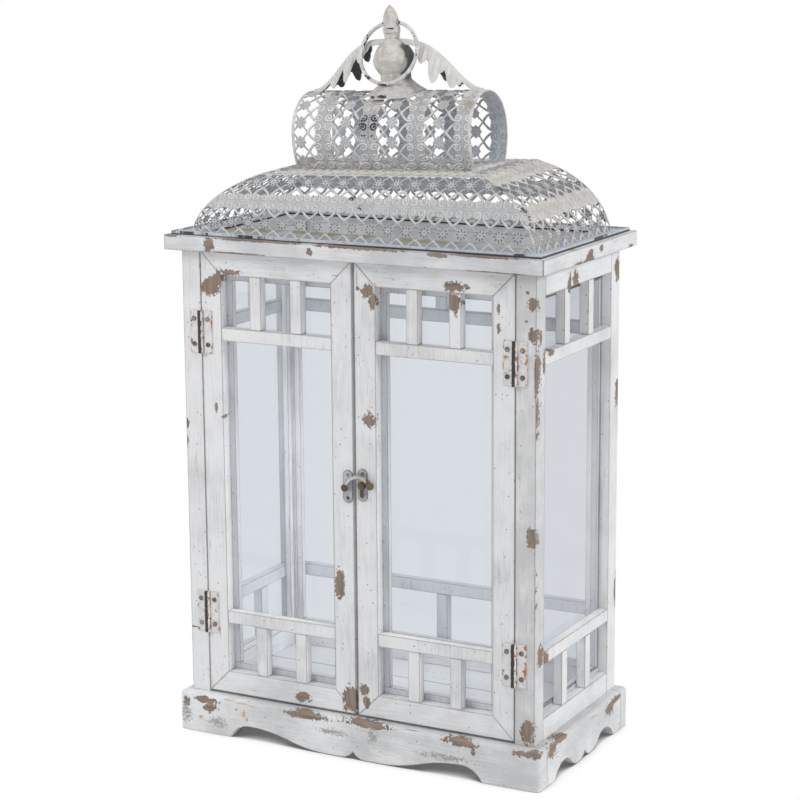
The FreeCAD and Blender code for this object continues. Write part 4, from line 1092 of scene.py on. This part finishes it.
CAMERA_PLACE = Vector((0.9463, -1.7866, 0.7330))
CAMERA_RIGHT = Vector((0.8840, 0.4675, -0.0070))
CAMERA_DOWN = Vector((0.0907, -0.1863, -0.9783))
CAMERA_FORWARD = Vector((-0.4586, 0.8642, -0.2071))
CAMERA_LENS = 104.56
SENSOR_WIDTH = 36.0
NEAREST_SEEN = 0.05


def set_camera():
    lens = bpy.data.cameras.new("camera")
    lens.sensor_width = SENSOR_WIDTH
    lens.lens = CAMERA_LENS
    lens.clip_start = NEAREST_SEEN
    made = bpy.data.objects.new("camera", lens)
    bpy.context.scene.collection.objects.link(made)
    axes = Matrix([CAMERA_RIGHT, -CAMERA_DOWN, -CAMERA_FORWARD]).transposed()
    made.matrix_world = Matrix.Translation(CAMERA_PLACE) @ axes.to_4x4()
    bpy.context.scene.camera = made


def seen_directly(tree):
    """1 for what the camera sees straight, in a mirror or through glass."""
    path = add_node(tree, "LightPath").outputs
    direct = larger(path["Is Camera Ray"], path["Is Glossy Ray"])
    return larger(direct, path["Is Transmission Ray"])


FLOOR_HALF = 4.0
FLOOR_MATT = colour(0.9, 0.9, 0.9)
CONTACT_REACH = 0.045
CLOSED, OPEN = 0.28, 0.62
DARKEST = 0.12
SKY_LIGHT = colour(0.97, 0.985, 1.0)
SKY_STRENGTH = 0.6


def make_floor():
    """A pale floor, white to the eye, with a painted contact shadow close under the plinth, where its glow
    dims as less of the sky is open.
    """
    mesh = bpy.data.meshes.new("studio_floor")
    corners = [(x * FLOOR_HALF, y * FLOOR_HALF, 0) for x, y in ((-1, -1), (1, -1), (1, 1), (-1, 1))]
    mesh.from_pydata(corners, [], [(0, 1, 2, 3)])
    made = bpy.data.objects.new("studio_floor", mesh)
    bpy.context.scene.collection.objects.link(made)
    material = bpy.data.materials.new("studio_floor")
    material.use_nodes = True
    tree = material.node_tree
    tree.nodes.remove(tree.nodes["Principled BSDF"])
    matt = add_node(tree, "BsdfDiffuse", {"Color": FLOOR_MATT}).outputs[0]
    open_share = add_node(tree, "AmbientOcclusion", {"Distance": CONTACT_REACH}, samples=16).outputs["AO"]
    # Painted contact shadow: the glow is dimmed where the floor is closed in.
    seen = span(open_share, CLOSED, OPEN, DARKEST, 1.0)
    white = add_node(tree, "Emission", {"Color": WHITE, "Strength": seen}).outputs[0]
    both = add_node(tree, "MixShader", (seen_directly(tree), matt, white)).outputs[0]
    tree.links.new(both, tree.nodes["Material Output"].inputs["Surface"])
    mesh.materials.append(material)


def set_world():
    world = bpy.data.worlds.new("studio")
    bpy.context.scene.world = world
    world.use_nodes = True
    tree = world.node_tree
    tree.nodes.clear()
    light = add_node(tree, "Background", {"Color": SKY_LIGHT, "Strength": SKY_STRENGTH}).outputs[0]
    white = add_node(tree, "Background", {"Color": WHITE, "Strength": 1.0}).outputs[0]
    mixed = add_node(tree, "MixShader", (seen_directly(tree), light, white)).outputs[0]
    out = add_node(tree, "OutputWorld")
    tree.links.new(mixed, out.inputs["Surface"])


OBJECT_MIDDLE = Vector((0, 0, 0.3))


def add_lamp(kind, name, place, strength, **settings):
    """A lamp aimed at the middle of the object and not seen itself."""
    lamp = bpy.data.lights.new(name, kind)
    lamp.energy = strength
    for setting, value in settings.items():
        setattr(lamp, setting, value)
    made = bpy.data.objects.new(name, lamp)
    bpy.context.scene.collection.objects.link(made)
    made.visible_camera = made.visible_glossy = made.visible_transmission = False
    made.location = place
    made.rotation_euler = (OBJECT_MIDDLE - Vector(place)).to_track_quat("-Z", "Y").to_euler()


set_camera()
make_floor()
set_world()
add_lamp("AREA", "key_lamp", place=(-0.75, -1.0, 1.15), strength=6.5, shape="DISK", size=0.6)
add_lamp("SUN", "side_lamp", place=(2.1, -0.2, 1.3), strength=1.3, angle=math.radians(16))
for x, name in (-0.08, "inside_lamp_left"), (0.08, "inside_lamp_right"):
    add_lamp("POINT", name, place=(x, 0, 0.21), strength=0.2, shadow_soft_size=0.06)
bpy.context.scene.view_settings.view_transform = "Standard"
